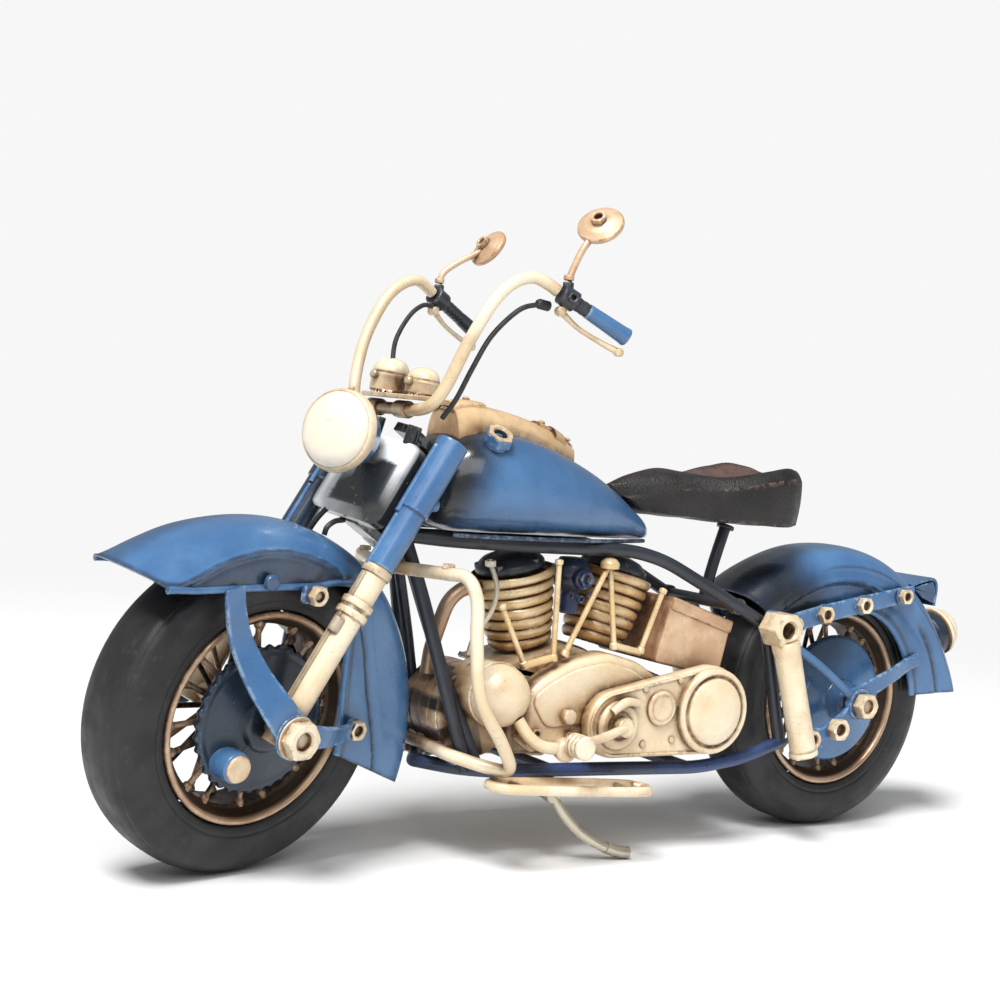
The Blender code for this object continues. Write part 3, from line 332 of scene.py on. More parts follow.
class Shell:
    """Surfaces that make one piece. A mask from 0 to 1 at each point says how much of the second coat lies
    there: airbrushing, painted lines and stripes, and in places painted shade and a painted reflection.
    """

    def __init__(self, group="body"):
        self.group, self.points, self.faces, self.soot, self.count = group, [], [], [], 0

    def add(self, grid, wrap_u=False, wrap_v=True, caps=True, soot=0.0):
        """A grid of points as quads; an open end of a closed ring is fanned to its middle."""
        rows, columns = grid.shape[:2]
        index = np.arange(rows * columns).reshape(rows, columns) + self.count
        if wrap_u:
            index = np.concatenate([index, index[:1]])
        if wrap_v:
            index = np.concatenate([index, index[:, :1]], axis=1)
        quads = np.stack([index[:-1, :-1], index[:-1, 1:], index[1:, 1:], index[1:, :-1]], -1)
        points, shade = grid.reshape(-1, 3), np.broadcast_to(soot, (rows, columns)).reshape(-1)
        self.faces += quads.reshape(-1, 4).tolist()
        if caps and wrap_v and not wrap_u:
            for end in (0, -1):
                middle = self.count + len(points)
                points = np.concatenate([points, grid[end].mean(0, keepdims=True)])
                shade = np.concatenate([shade, np.broadcast_to(soot, (rows, columns))[end][:1]])
                edge = index[end] if end else index[end][::-1]
                fan = np.stack([edge[:-1], edge[1:], np.full(len(edge) - 1, middle)], -1)
                self.faces += fan.tolist()
        self.points.append(points)
        self.soot.append(shade)
        self.count += len(points)
        return self

    def bolt(self, at, direction, radius, thickness, hole=0.52):
        """A nut with the end of its stud sunk in the hole."""
        self.add(nut(at, direction, radius, thickness, hole), wrap_u=True, caps=False)
        inner = radius * hole * 1.04
        stud = soften([(0, 0), (inner, 0), (inner, thickness * 0.45), (0, thickness * 0.5)], 0.2)
        return self.add(lathe(stud, at, direction, 20), caps=False, soot=0.85)

    def rod(self, a, b, radius, sides=20, soot=0.0):
        """A round bar: a rectangle turned about the line from a to b, its two corners softened."""
        long = float(np.linalg.norm(np.subtract(b, a)))
        edge = min(radius * 0.25, 0.4)
        profile = soften([(0, 0), (radius, 0), (radius, long), (0, long)], edge)
        return self.add(lathe(profile, a, np.subtract(b, a), sides), caps=False, soot=soot)

    def spun(self, profile, at, direction, sides=64, edge=0.5, soot=0.0):
        """A turned solid whose profile starts and ends on the axis, its corners softened."""
        profile = np.asarray(profile, float)
        first, last = ([(0, row[1])] if row[0] > 0 else np.zeros((0, 2)) for row in (profile[0],
                profile[-1]))
        profile = np.concatenate([first, profile, last])
        return self.add(lathe(soften(profile, edge), at, direction, sides), caps=False, soot=soot)


def worn_edges(mesh):
    """Two numbers at each point for the finishes: how sharply it bends outwards, and inwards.

    Along each edge the bend is the change of normal along the edge over its length; a point
    takes the largest of its edges. One means a corner of about half a millimetre.
    """
    count = len(mesh.vertices)
    at, normal = np.empty(count * 3), np.empty(count * 3)
    ends = np.empty(len(mesh.edges) * 2, np.int32)
    mesh.vertices.foreach_get("co", at)
    mesh.vertices.foreach_get("normal", normal)
    mesh.edges.foreach_get("vertices", ends)
    a, b = ends.reshape(-1, 2).T
    at, normal = at.reshape(-1, 3) / MM, normal.reshape(-1, 3)
    span = at[b] - at[a]
    bend = ((normal[b] - normal[a]) * span).sum(1) / np.maximum((span**2).sum(1), 1e-6)
    for name, sign, low, high in (("edge", 1, 0.5, 2.2), ("crease", -1, 0.12, 1.1)):
        most = np.zeros(count)
        np.maximum.at(most, a, sign * bend)
        np.maximum.at(most, b, sign * bend)
        mesh.attributes.new(name, "FLOAT", "POINT").data.foreach_set("value", step(most, low, high))


def make(name, shell, look, body, slot, *stands_for, sharp=38.0):
    """Makes a shell one piece that rides on a body, in place of the solids that it stands for."""
    mesh = bpy.data.meshes.new(name)
    mesh.from_pydata(placed(np.concatenate(shell.points), shell.group).tolist(), [], shell.faces)
    soot = np.clip(np.concatenate(shell.soot), 0, 1)
    mesh.attributes.new("soot", "FLOAT", "POINT").data.foreach_set("value", soot)
    work = bmesh.new()
    work.from_mesh(mesh)
    bmesh.ops.remove_doubles(work, verts=work.verts, dist=2e-7)
    bmesh.ops.dissolve_degenerate(work, edges=work.edges, dist=1e-7)
    bmesh.ops.recalc_face_normals(work, faces=work.faces)
    work.to_mesh(mesh)
    work.free()
    mesh.update()
    worn_edges(mesh)
    mesh.shade_smooth()
    mesh.set_sharp_from_angle(angle=math.radians(sharp))
    mesh.materials.append(LOOKS[look])
    item = bpy.data.objects.new(name, mesh)
    bpy.context.scene.collection.objects.link(item)
    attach(item, body)
    if stands_for:
        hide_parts(*stands_for)
    return item


# ---- finishes ----


class Recipe:
    """A material under construction: each call adds one node and returns its output."""

    def __init__(self, name):
        self.material = bpy.data.materials.new(name)
        self.material.use_nodes = True
        self.tree = self.material.node_tree
        self.shader = self.tree.nodes["Principled BSDF"]
        self.place = self.node("ShaderNodeTexCoord").outputs["Object"]

    def node(self, kind, **settings):
        """One node of a kind, with its settings."""
        made = self.tree.nodes.new(kind)
        for key, value in settings.items():
            setattr(made, key, value)
        return made

    def feed(self, socket, value):
        """Links another node's output to a socket, or sets its number."""
        if isinstance(value, bpy.types.NodeSocket):
            self.tree.links.new(value, socket)
        else:
            socket.default_value = value

    def noise(self, scale, detail=3.0, rough=0.55, stretch=None):
        """Cloudy noise over the object's own coordinates, drawn out along an axis by stretch."""
        made = self.node("ShaderNodeTexNoise")
        made.inputs["Scale"].default_value = scale
        made.inputs["Detail"].default_value = detail
        made.inputs["Roughness"].default_value = rough
        where = self.place
        if stretch:
            mapping = self.node("ShaderNodeMapping")
            self.feed(mapping.inputs["Vector"], where)
            mapping.inputs["Scale"].default_value = stretch
            where = mapping.outputs["Vector"]
        self.feed(made.inputs["Vector"], where)
        return made.outputs["Fac"]

    def spots(self, scale, low, high):
        """Round dots: one inside low from the nearest of scattered points, zero outside high."""
        made = self.node("ShaderNodeTexVoronoi")
        made.inputs["Scale"].default_value = scale
        self.feed(made.inputs["Vector"], self.place)
        return self.ramp(made.outputs["Distance"], high, low)

    def ramp(self, value, low, high, to_low=0.0, to_high=1.0):
        """A smooth step of the value between low and high, given as to_low to to_high."""
        made = self.node("ShaderNodeMapRange", interpolation_type="SMOOTHSTEP")
        self.feed(made.inputs["Value"], value)
        for key, number in (("From Min", low), ("From Max", high), ("To Min", to_low), ("To Max", to_high)):
            made.inputs[key].default_value = number
        return made.outputs["Result"]

    def math(self, operation, a, b=0.0, clamp=False):
        """One arithmetic operation on two values."""
        made = self.node("ShaderNodeMath", operation=operation, use_clamp=clamp)
        self.feed(made.inputs[0], a)
        self.feed(made.inputs[1], b)
        return made.outputs[0]

    def mix(self, share, a, b):
        """Two colours mixed by a share."""
        made = self.node("ShaderNodeMix", data_type="RGBA")
        self.feed(made.inputs[0], share)
        for socket, value in ((made.inputs[6], a), (made.inputs[7], b)):
            self.feed(socket, value if isinstance(value, bpy.types.NodeSocket) else (*value, 1.0))
        return made.outputs[2]

    def own(self, name):
        """A number that the mesh holds at each of its points."""
        return self.node("ShaderNodeAttribute", attribute_name=name).outputs["Fac"]

    def hollow(self, reach):
        """How shut in a point is by what stands within reach, in metres."""
        made = self.node("ShaderNodeAmbientOcclusion", samples=5)
        made.inputs["Distance"].default_value = reach
        return self.ramp(made.outputs["AO"], 0.96, 0.36)

    def bump(self, height, strength, distance, under=None):
        """A height turned into a tilt of the normal, on top of another."""
        made = self.node("ShaderNodeBump")
        made.inputs["Strength"].default_value = strength
        made.inputs["Distance"].default_value = distance
        self.feed(made.inputs["Height"], height)
        if under is not None:
            self.feed(made.inputs["Normal"], under)
        return made.outputs["Normal"]


def enamel(name, base, second, grime, bare, soot=(0.012, 0.013, 0.016), rough=0.4, metal=0.0, coat=0.0,
        reach=0.004, dirt=0.8, wear=0.6, chips=0.67, metal_dirt=None, specks=0.8, peel=0.12, blotch=42.0,
        edge_grain=320.0, glaze_and_painted_shade=None):
    """Old enamel: two mottled tones, airbrushed black that also lays painted shade and, on the fork plate, a
    near-white painted reflection, grime in the hollows, bare edges.
    """
    r = Recipe(name)
    colour = r.mix(r.ramp(r.noise(blotch, 4.0), 0.36, 0.66), base, second)
    # A golden-brown tone where the surface is shut in within two centimetres and in patches: partly a real
    # glaze in the hollows, partly painted shade.
    if glaze_and_painted_shade:
        pooled_glaze_and_shade = r.math("ADD", r.hollow(0.02), r.ramp(r.noise(36.0, 5.0, 0.6), 0.46, 0.7, 0.0, 0.6),
                clamp=True)
        colour = r.mix(r.math("MULTIPLY", pooled_glaze_and_shade, r.ramp(r.noise(190.0, 5.0), 0.3, 0.65, 0.5, 1.0)),
                colour, glaze_and_painted_shade)
    # The second coat: airbrushing and painted lines, and in places painted shade and a painted reflection.
    sprayed_and_painted_light = r.own("soot")
    cloud = r.math("MULTIPLY", r.math("SUBTRACT", r.noise(120.0, 4.0), 0.5), 0.9)
    drift = r.math("MULTIPLY", r.math("MULTIPLY", sprayed_and_painted_light, r.math("SUBTRACT", 1.0, sprayed_and_painted_light)), 2.4)
    sprayed_and_painted_light = r.math("ADD", sprayed_and_painted_light, r.math("MULTIPLY", cloud, drift), clamp=True)
    colour = r.mix(sprayed_and_painted_light, colour, soot)
    held = r.math("MAXIMUM", r.hollow(reach), r.math("MULTIPLY", r.own("crease"), 0.9))
    patches = r.ramp(r.noise(260.0, 5.0, 0.62), 0.3, 0.62, 0.35, 1.0)
    held = r.math("MULTIPLY", r.math("MULTIPLY", held, patches), dirt, clamp=True)
    colour = r.mix(held, colour, grime)
    rubbed = r.math("MULTIPLY", r.own("edge"), r.ramp(r.noise(edge_grain, 5.0, 0.65), 0.47, 0.6))
    flaked = r.ramp(r.noise(480.0, 7.0, 0.68), chips, chips + 0.025)
    gone = r.math("MAXIMUM", r.math("MULTIPLY", rubbed, wear), r.math("MULTIPLY", flaked, 0.85))
    colour = r.mix(gone, colour, bare)
    dots = r.math("MULTIPLY", r.spots(620.0, 0.07, 0.13), r.ramp(r.noise(75.0, 2.0), 0.56, 0.68,
            0.0, specks))
    colour = r.mix(dots, colour, grime)
    r.feed(r.shader.inputs["Base Color"], colour)
    gloss = r.ramp(r.noise(170.0, 5.0), 0.3, 0.72, rough - 0.07, rough + 0.1)
    gloss = r.math("ADD", gloss, r.math("MULTIPLY", r.math("MAXIMUM", held, gone), 0.16), clamp=True)
    r.feed(r.shader.inputs["Roughness"], gloss)
    if metal_dirt is None:
        r.shader.inputs["Metallic"].default_value = metal
    else:
        r.feed(r.shader.inputs["Metallic"], r.ramp(held, 0.0, 1.0, metal, metal_dirt))
    r.shader.inputs["Coat Weight"].default_value = coat
    r.shader.inputs["Coat Roughness"].default_value = 0.12
    under = r.bump(r.noise(900.0, 4.0, 0.5), peel, 0.0003)
    under = r.bump(r.math("MULTIPLY", r.math("ADD", gone, dots), -1.0), 0.35, 0.0002, under)
    r.feed(r.shader.inputs["Normal"], under)
    return r.material


def rubber_finish(name, base, dust):
    """Satin rubber: scuffed grey where it bends, dust in patches, fine pits, and painted shade where it is
    shut in.
    """
    r = Recipe(name)
    colour = r.mix(r.ramp(r.noise(60.0, 5.0), 0.35, 0.7), base, tuple(c * 1.7 for c in base))
    scuff = r.math("MULTIPLY", r.ramp(r.noise(210.0, 6.0, 0.7), 0.56, 0.74), 0.5)
    colour = r.mix(scuff, colour, dust)
    specks = r.math("MULTIPLY", r.spots(340.0, 0.03, 0.07), r.ramp(r.noise(40.0, 2.0), 0.5, 0.66, 0.0, 0.9))
    colour = r.mix(specks, colour, tuple(min(c * 3.2, 1.0) for c in dust))
    rubbed = r.math("MULTIPLY", r.own("edge"), r.ramp(r.noise(300.0, 5.0), 0.4, 0.6, 0.1, 0.7))
    colour = r.mix(rubbed, colour, dust)
    # Painted shade: darker where the rubber is shut in.
    colour = r.mix(r.hollow(0.006), colour, (0.006, 0.006, 0.006))
    r.feed(r.shader.inputs["Base Color"], colour)
    r.feed(r.shader.inputs["Roughness"], r.ramp(r.noise(130.0, 6.0), 0.3, 0.7, 0.4, 0.62))
    under = r.bump(r.noise(1400.0, 5.0, 0.6), 0.25, 0.0003)
    r.feed(r.shader.inputs["Normal"], r.bump(r.noise(34.0, 3.0), 0.25, 0.0012, under))
    return r.material


def hide_finish(name, base, worn):
    """A saddle's brown skin: pebble grain, and a red-brown tone polished through on the seat."""
    r = Recipe(name)
    rubbed = r.math("MULTIPLY", r.own("pan"), r.ramp(r.noise(95.0, 5.0, 0.6), 0.25, 0.7, 0.45, 1.0))
    colour = r.mix(r.ramp(r.noise(70.0, 4.0), 0.35, 0.7), base, tuple(c * 1.8 for c in base))
    colour = r.mix(rubbed, colour, worn)
    edges = r.math("MULTIPLY", r.own("edge"), r.ramp(r.noise(360.0, 5.0, 0.65), 0.44, 0.6, 0.0, 0.75))
    colour = r.mix(edges, colour, tuple(min(c * 1.5, 1.0) for c in worn))
    cell = r.node("ShaderNodeTexVoronoi", feature="DISTANCE_TO_EDGE")
    cell.inputs["Scale"].default_value = 820.0
    r.feed(cell.inputs["Vector"], r.place)
    grain = r.ramp(cell.outputs["Distance"], 0.0, 0.16)
    colour = r.mix(r.math("MULTIPLY", r.math("SUBTRACT", 1.0, grain), 0.45), colour, (0.006, 0.005, 0.005))
    flecks = r.math("MULTIPLY", r.ramp(r.noise(520.0, 6.0, 0.7), 0.69, 0.72), 0.7)
    colour = r.mix(flecks, colour, (0.36, 0.27, 0.23))
    r.feed(r.shader.inputs["Base Color"], colour)
    r.feed(r.shader.inputs["Roughness"], r.ramp(r.noise(120.0, 5.0), 0.3, 0.7, 0.36, 0.58))
    under = r.bump(grain, 0.22, 0.0003)
    r.feed(r.shader.inputs["Normal"], r.bump(r.noise(210.0, 5.0), 0.25, 0.0006, under))
    return r.material


def glass_finish(name, base, shade):
    """Cream enamel over a lamp's glass: even and glossy, with a few drips and hairline scratches."""
    r = Recipe(name)
    colour = r.mix(r.ramp(r.noise(34.0, 3.0), 0.3, 0.72), base, shade)
    streaks = r.ramp(r.noise(260.0, 4.0, 0.6, (1.0, 0.16, 1.0)), 0.63, 0.7, 0.0, 0.5)
    colour = r.mix(streaks, colour, tuple(c * 0.62 for c in shade))
    colour = r.mix(r.math("MULTIPLY", r.hollow(0.003), 0.8), colour, (0.3, 0.2, 0.1))
    dots = r.math("MULTIPLY", r.spots(300.0, 0.05, 0.1), r.ramp(r.noise(60.0, 2.0), 0.58, 0.68, 0.0, 0.7))
    colour = r.mix(dots, colour, (0.34, 0.26, 0.17))
    r.feed(r.shader.inputs["Base Color"], colour)
    r.feed(r.shader.inputs["Roughness"], r.ramp(r.noise(90.0, 4.0), 0.3, 0.7, 0.18, 0.34))
    r.shader.inputs["Coat Weight"].default_value = 0.4
    r.shader.inputs["Coat Roughness"].default_value = 0.08
    r.feed(r.shader.inputs["Normal"], r.bump(r.noise(120.0, 3.0), 0.12, 0.0005))
    return r.material


# ---- settings that a user would change ----


class TinPaints(bpy.types.PropertyGroup):
    """The enamels, as linear colours."""

    blue: FloatVectorProperty(name="Blue", description="Enamel of the tank and fenders",
            subtype="COLOR", size=3, min=0, max=1, default=(0.05, 0.14, 0.31))
    cream: FloatVectorProperty(name="Cream", description="Antique enamel of the engine and bars",
            subtype="COLOR", size=3, min=0, max=1, default=(0.84, 0.66, 0.42))
    black: FloatVectorProperty(name="Black", description="Enamel of the frame", subtype="COLOR",
            size=3, min=0, max=1, default=(0.022, 0.026, 0.034))
    bronze: FloatVectorProperty(name="Bronze", description="Paint of the wheel rims",
            subtype="COLOR", size=3, min=0, max=1, default=(0.46, 0.285, 0.175))
    wear: FloatProperty(name="Wear", description="How much paint has gone from the edges",
            subtype="FACTOR", min=0, max=1, default=0.7)


class TinSizes(bpy.types.PropertyGroup):
    """Counts and sizes that the solids leave open."""

    spokes: IntProperty(name="Spoke pairs", description="Crossed pairs on each side of a wheel",
            min=4, max=20, default=8)
    ribs: IntProperty(name="Cylinder ribs", description="Cooling ribs on each cylinder", min=3,
            max=12, default=7)
    wheel_sides: IntProperty(name="Wheel steps", description="Steps round a tyre", min=32, max=256,
            default=144)
    peel: FloatProperty(name="Brush marks", description="Depth of the brush marks in the enamel",
            subtype="FACTOR", min=0, max=1, default=0.14)


LOOKS = {}


def sizes():
    """The sizes that a user set."""
    return bpy.context.scene.tin_sizes


class TINBIKE_OT_finishes(bpy.types.Operator):
    """Mix the paints and lay them on the fixed solids"""

    bl_idname = "tin_motorcycle.finishes"
    bl_label = "Finishes"
    bl_options = {"REGISTER", "UNDO"}

    def execute(self, context):
        scene = context.scene
        paints, peel = scene.tin_paints, sizes().peel
        blue, cream, black, bronze = (tuple(getattr(paints, k)) for k in ("blue", "cream", "black",
                "bronze"))
        pale = (0.95, 0.84, 0.64)
        LOOKS[BLUE] = enamel("blue enamel", blue, (0.075, 0.19, 0.38), (0.01, 0.014, 0.026),
                (0.3, 0.42, 0.55), rough=0.3, coat=0.5, wear=paints.wear, chips=0.72, peel=peel,
                reach=0.006)
        LOOKS["navy"] = enamel("navy enamel", (0.012, 0.022, 0.038), (0.02, 0.038, 0.065),
                (0.006, 0.007, 0.01), (0.14, 0.2, 0.28), rough=0.34, coat=0.2, wear=0.5, peel=peel)
        tan = (0.5, 0.27, 0.1)
        LOOKS[CREAM] = enamel("antique cream", cream, pale, (0.07, 0.03, 0.012),
                (0.16, 0.075, 0.03), rough=0.3, metal=0.1, wear=0.5, chips=0.69, dirt=1.0,
                reach=0.009, coat=0.3, peel=peel * 2, specks=1.0, blotch=30.0, glaze_and_painted_shade=tan)
        LOOKS["ochre"] = enamel("ochre plate", (0.62, 0.4, 0.2), (0.8, 0.58, 0.34),
                (0.05, 0.022, 0.01), (0.08, 0.04, 0.02), rough=0.34, wear=0.9, chips=0.66, dirt=1.0,
                reach=0.007, coat=0.25, peel=peel * 2.4, blotch=60.0, glaze_and_painted_shade=(0.36, 0.19, 0.08))
        LOOKS["gilt"] = enamel("gilt ribs", (0.8, 0.58, 0.28), (0.92, 0.76, 0.48),
                (0.09, 0.04, 0.012), pale, soot=(0.14, 0.06, 0.015), rough=0.28, metal=0.25,
                wear=0.8, chips=0.7, dirt=1.0, reach=0.006, peel=peel * 2, blotch=70.0,
                edge_grain=120.0, coat=0.3, glaze_and_painted_shade=(0.42, 0.2, 0.05))
        LOOKS["copper"] = enamel("rubbed copper", (0.66, 0.43, 0.26), (0.85, 0.64, 0.43),
                (0.12, 0.05, 0.02), (0.1, 0.045, 0.02), rough=0.34, metal=0.2, wear=0.6, chips=0.67,
                dirt=0.9, reach=0.008, peel=peel * 2, blotch=75.0, glaze_and_painted_shade=(0.4, 0.19, 0.09))
        LOOKS[BLACK] = enamel("charcoal enamel", black, (0.04, 0.046, 0.06), (0.006, 0.006, 0.007),
                (0.32, 0.3, 0.27), rough=0.36, coat=0.15, wear=0.5, chips=0.7, peel=peel)
        LOOKS["midnight"] = enamel("midnight rails", (0.02, 0.03, 0.06), (0.035, 0.07, 0.2),
                (0.006, 0.007, 0.01), (0.4, 0.4, 0.4), rough=0.34, coat=0.2, wear=0.5, chips=0.69,
                peel=peel)
        # The fork plate: dark enamel whose near-white second coat is a painted reflection of a bright lamp.
        LOOKS["black_plate_painted_reflection"] = enamel("black plate with painted reflection", (0.025, 0.027, 0.028),
                (0.045, 0.048, 0.048), (0.01, 0.01, 0.01), (0.55, 0.55, 0.53),
                soot=(0.86, 0.87, 0.87), rough=0.26, coat=0.6, wear=0.5, chips=0.66,
                peel=peel * 0.6)
        LOOKS[BRONZE] = enamel("rim bronze", bronze, (0.6, 0.42, 0.28), (0.055, 0.03, 0.02),
                (0.8, 0.62, 0.44), soot=(0.03, 0.018, 0.012), rough=0.36, metal=0.6, metal_dirt=0.2,
                wear=0.9, reach=0.008, dirt=0.85, peel=peel * 1.5)
        LOOKS[STEEL] = enamel("dulled plate", (0.5, 0.45, 0.36), (0.66, 0.6, 0.48),
                (0.1, 0.06, 0.03), (0.8, 0.74, 0.62), rough=0.32, metal=0.75, wear=0.6, peel=peel)
        LOOKS[RUBBER] = rubber_finish("tyre rubber", (0.011, 0.011, 0.012), (0.06, 0.058, 0.056))
        LOOKS["hose"] = rubber_finish("black sheathing", (0.012, 0.012, 0.013), (0.1, 0.1, 0.1))
        LOOKS[SADDLE] = hide_finish("saddle hide", (0.012, 0.01, 0.0095), (0.15, 0.085, 0.07))
        LOOKS["lamp"] = glass_finish("lamp cream", (0.98, 0.93, 0.82), (0.9, 0.78, 0.6))
        record = {row["node"]: row["material_slot"] for row in frame["record"]["subparts"]}
        for name, node in frame["nodes"].items():
            node.data.materials.clear()
            node.data.materials.append(LOOKS[record[name]])
        return {"FINISHED"}


# ---- frame, stand and rails ----


class TINBIKE_OT_frame(bpy.types.Operator):
    """Bend the frame's tubes and hang the stand"""

    bl_idname = "tin_motorcycle.frame"
    bl_label = "Frame and stand"
    bl_options = {"REGISTER", "UNDO"}

    def execute(self, context):
        cradle, rails = Shell(), Shell()
        head = soften([(2.9, -0.6), (5.0, -0.6), (5.7, 0.0), (5.7, 2.6), (5.0, 3.4), (5.0, 26.6),
                (5.7, 27.4), (5.7, 30.0), (5.0, 30.6), (2.9, 30.6)], 0.5)
        cradle.add(lathe(head, steer_point(108.3), STEER_AXIS), wrap_u=True, caps=False)
        for side in (1, -1):
            top = [(72, 4, 109.4), (56, 9, 108.4), (32, 15, 108.2), (-16, 16.6, 108.0),
                    (-30, 18, 104.8), (-54, 20.4, 93.6), (-70, 21.4, 86.0), (-78, 21.4, 82.2)]
            down = [(70.5, 4, 108), (64.5, 9, 88), (50.4, 17.4, 39.5), (48.6, 18.2, 32)]
            low = [(58, 0, 32.2), (49, 14, 32.0), (36, 19.6, 31.6), (-7, 20, 30.6), (-52, 20, 29.2),
                    (-72, 20.8, 31.8), (-92, 21.2, 38.0)]
            rear = [(-78, 21.4, 81.6), (-84, 21.3, 60), (-90, 21.2, 38.0)]
            for path, target in ((top, cradle), (down, cradle), (low, rails), (rear, cradle)):
                target.add(tube(mirrored(path, side), 2.4, bend=7.0))
            cradle.add(tube(mirrored([(69.5, 3.4, 104), (60, 8, 76), (49.0, 16.4, 46),
                    (44.0, 19.0, 33)], side), 1.9, bend=8.0))
        cradle.rod((-64, -21, 89.0), (-64, 21, 89.0), 2.2)
        for side in (1, -1):
            cradle.spun([(3.1, 0), (3.1, 3.4)], mirrored((-64, 18.6, 89.0), side), (0, side, 0))
        cradle.add(tube([(-64.5, 0, 89), (-68, 0, 103), (-72.6, 0, 117.8)], 2.2))
        cradle.spun([(3.4, 0), (3.4, 1.6)], (-72.2, 0, 116.4), (-0.3, 0, 1))
        rails.rod((-47, -20, 29.4), (-47, 20, 29.4), 2.2)
        rails.rod((14, -20, 30.9), (14, 20, 30.9), 2.2)
        cradle.rod((72.2, -4, 109.2), (72.2, 4, 109.2), 2.6)
        lug = soften([(13.2, 21.8), (18.8, 21.8), (18.8, 29.4), (13.2, 29.4)], 1.6, 5, True)
        rails.add(slab(lug, 17.9, 21.3, 0.4))
        make("cradle", cradle, BLACK, "chassis", BLACK, "main_frame")
        make("lower_rails", rails, "midnight", "chassis", BLACK)
        stand = Shell()
        stand.spun([(2.7, 0), (2.7, 4.2)], (16, 21.65, 23.4), ALONG_Y)
        leg = [(16.0, 24.0, 23.4), (10.5, 25.4, 16.0), (4.0, 26.2, 10.0), (-4, 27.2, 5.4),
                (-11, 28.1, 2.9), (-14.6, 28.6, 2.1)]
        stand.add(tube(leg, 1.8))
        stand.add(tube([(-6.6, 27.5, 4.5), (-11, 28.1, 3.0), (-15.6, 28.8, 2.3)], 2.15))
        make("side_stand", stand, STEEL, "stand", BLACK, "kickstand")
        return {"FINISHED"}


class TINBIKE_OT_rails(bpy.types.Operator):
    """Bend the crash bar and the two foot rails"""

    bl_idname = "tin_motorcycle.rails"
    bl_label = "Crash bar and foot rails"
    bl_options = {"REGISTER", "UNDO"}

    def execute(self, context):
        half = [(56.0, 0, 38.4), (55.8, 10, 38.2), (55.0, 18.4, 37.6), (46, 31, 35.4),
                (42.6, 36.0, 36.6), (48.5, 38.6, 46.0), (58.6, 40.0, 60.3), (61.8, 40.0, 78.0),
                (62.8, 39.6, 92.0), (65.0, 36.0, 98.8), (68.4, 28.0, 99.2), (74.4, 8.0, 98.8)]
        path = [*half, (74.9, 0, 98.8), *mirrored(half)[::-1].tolist()]
        bar = Shell().add(carried(curve(path, 6, True), ring(2.2, 24), closed=True), wrap_u=True)
        for side in (1, -1):
            bar.bolt(mirrored((67.6, 28.6, 101.0), side), (0, 0, 1), 2.3, 1.5)
        make("crash_rail", bar, CREAM, "chassis", CREAM, "crash_bar")
        loop = [(16, 27.8, 28.6), (-11, 27.8, 26.6), (-16, 29.8, 26.1), (-17.8, 32.6, 26.0),
                (-16, 36.2, 26.1), (-11, 38.4, 26.4), (16, 38.4, 28.0), (40, 38.4, 29.8),
                (45.4, 36.4, 30.2), (47.2, 32.6, 30.3), (45.4, 29.6, 30.2), (40, 27.8, 29.8)]
        for name, side in SIDES:
            rail = Shell().add(carried(curve(mirrored(loop, side), 6, True), ring(1.75), (0, 0, 1),
                    True), wrap_u=True)
            for x, z in ((-7.0, 26.9), (37.0, 29.7)):
                rail.rod(mirrored((x, 27.6, z), side), mirrored((x, 38.6, z + 0.2), side), 1.0, 12,
                        soot=0.6)
            make(f"foot_loop_{name}", rail, CREAM, "chassis", CREAM, f"foot_rail_{name}")
        return {"FINISHED"}


# ---- tank, console, saddle ----

# x, half width, underside z, top z
TANK = (
    (-32.0, 3.0, 112.0, 114.5), (-28.0, 8.0, 111.3, 118.0), (-18.0, 13.5, 111.2, 124.8),
    (-5.0, 19.0, 111.2, 132.5), (12.0, 23.5, 111.2, 140.0), (30.0, 25.0, 111.2, 145.5),
    (46.0, 24.0, 111.2, 146.5), (58.0, 20.5, 112.0, 143.5), (65.0, 15.5, 115.0, 137.5),
    (68.5, 8.0, 120.0, 130.0),
)
TANK_POWER = 2.5
# x, half width, crest z
CONSOLE = ((2.0, 0.9, 142.0), (10.0, 4.6, 146.6), (25.0, 7.6, 151.4), (40.0, 9.6, 154.2),
        (52.0, 10.8, 155.0), (57.0, 10.8, 154.2))
# x, half width, underside z, middle z, rim z
SEAT = (
    (-99.5, 6.0, 122.5, 133.0, 133.5), (-98.6, 9.5, 121.0, 135.6, 137.0),
    (-96.0, 14.5, 119.6, 136.9, 139.8),
    (-90.0, 19.5, 118.8, 137.0, 141.8), (-76.0, 22.0, 118.6, 135.0, 140.4),
    (-60.0, 18.5, 119.0, 135.6, 137.0), (-48.0, 13.5, 119.8, 137.0, 136.0),
    (-36.0, 10.0, 120.2, 137.6, 134.5), (-24.0, 6.5, 122.0, 134.8, 132.0),
    (-15.0, 2.4, 128.6, 131.0, 130.4),
)
TANK_REAR, TANK_LONG = -32.0, 100.5
SEAT_REAR, SEAT_LONG = -99.5, 84.5
WIDEST = 0.42


def tank_levels(x):
    """Half width, underside, widest level and top of the tank; the widest level is a share of the way up."""
    half, low, high = np.moveaxis(table(TANK, x), -1, 0)
    return half, low, low + (high - low) * WIDEST, high


def tank_top(x, y):
    """The height of the tank's top: the rise times (1 - |y / half|^p)^(1 / p)."""
    half, _, middle, high = tank_levels(x)
    inside = np.clip(1 - np.abs(y / half) ** TANK_POWER, 0, 1)
    return middle + (high - middle) * inside ** (1 / TANK_POWER)


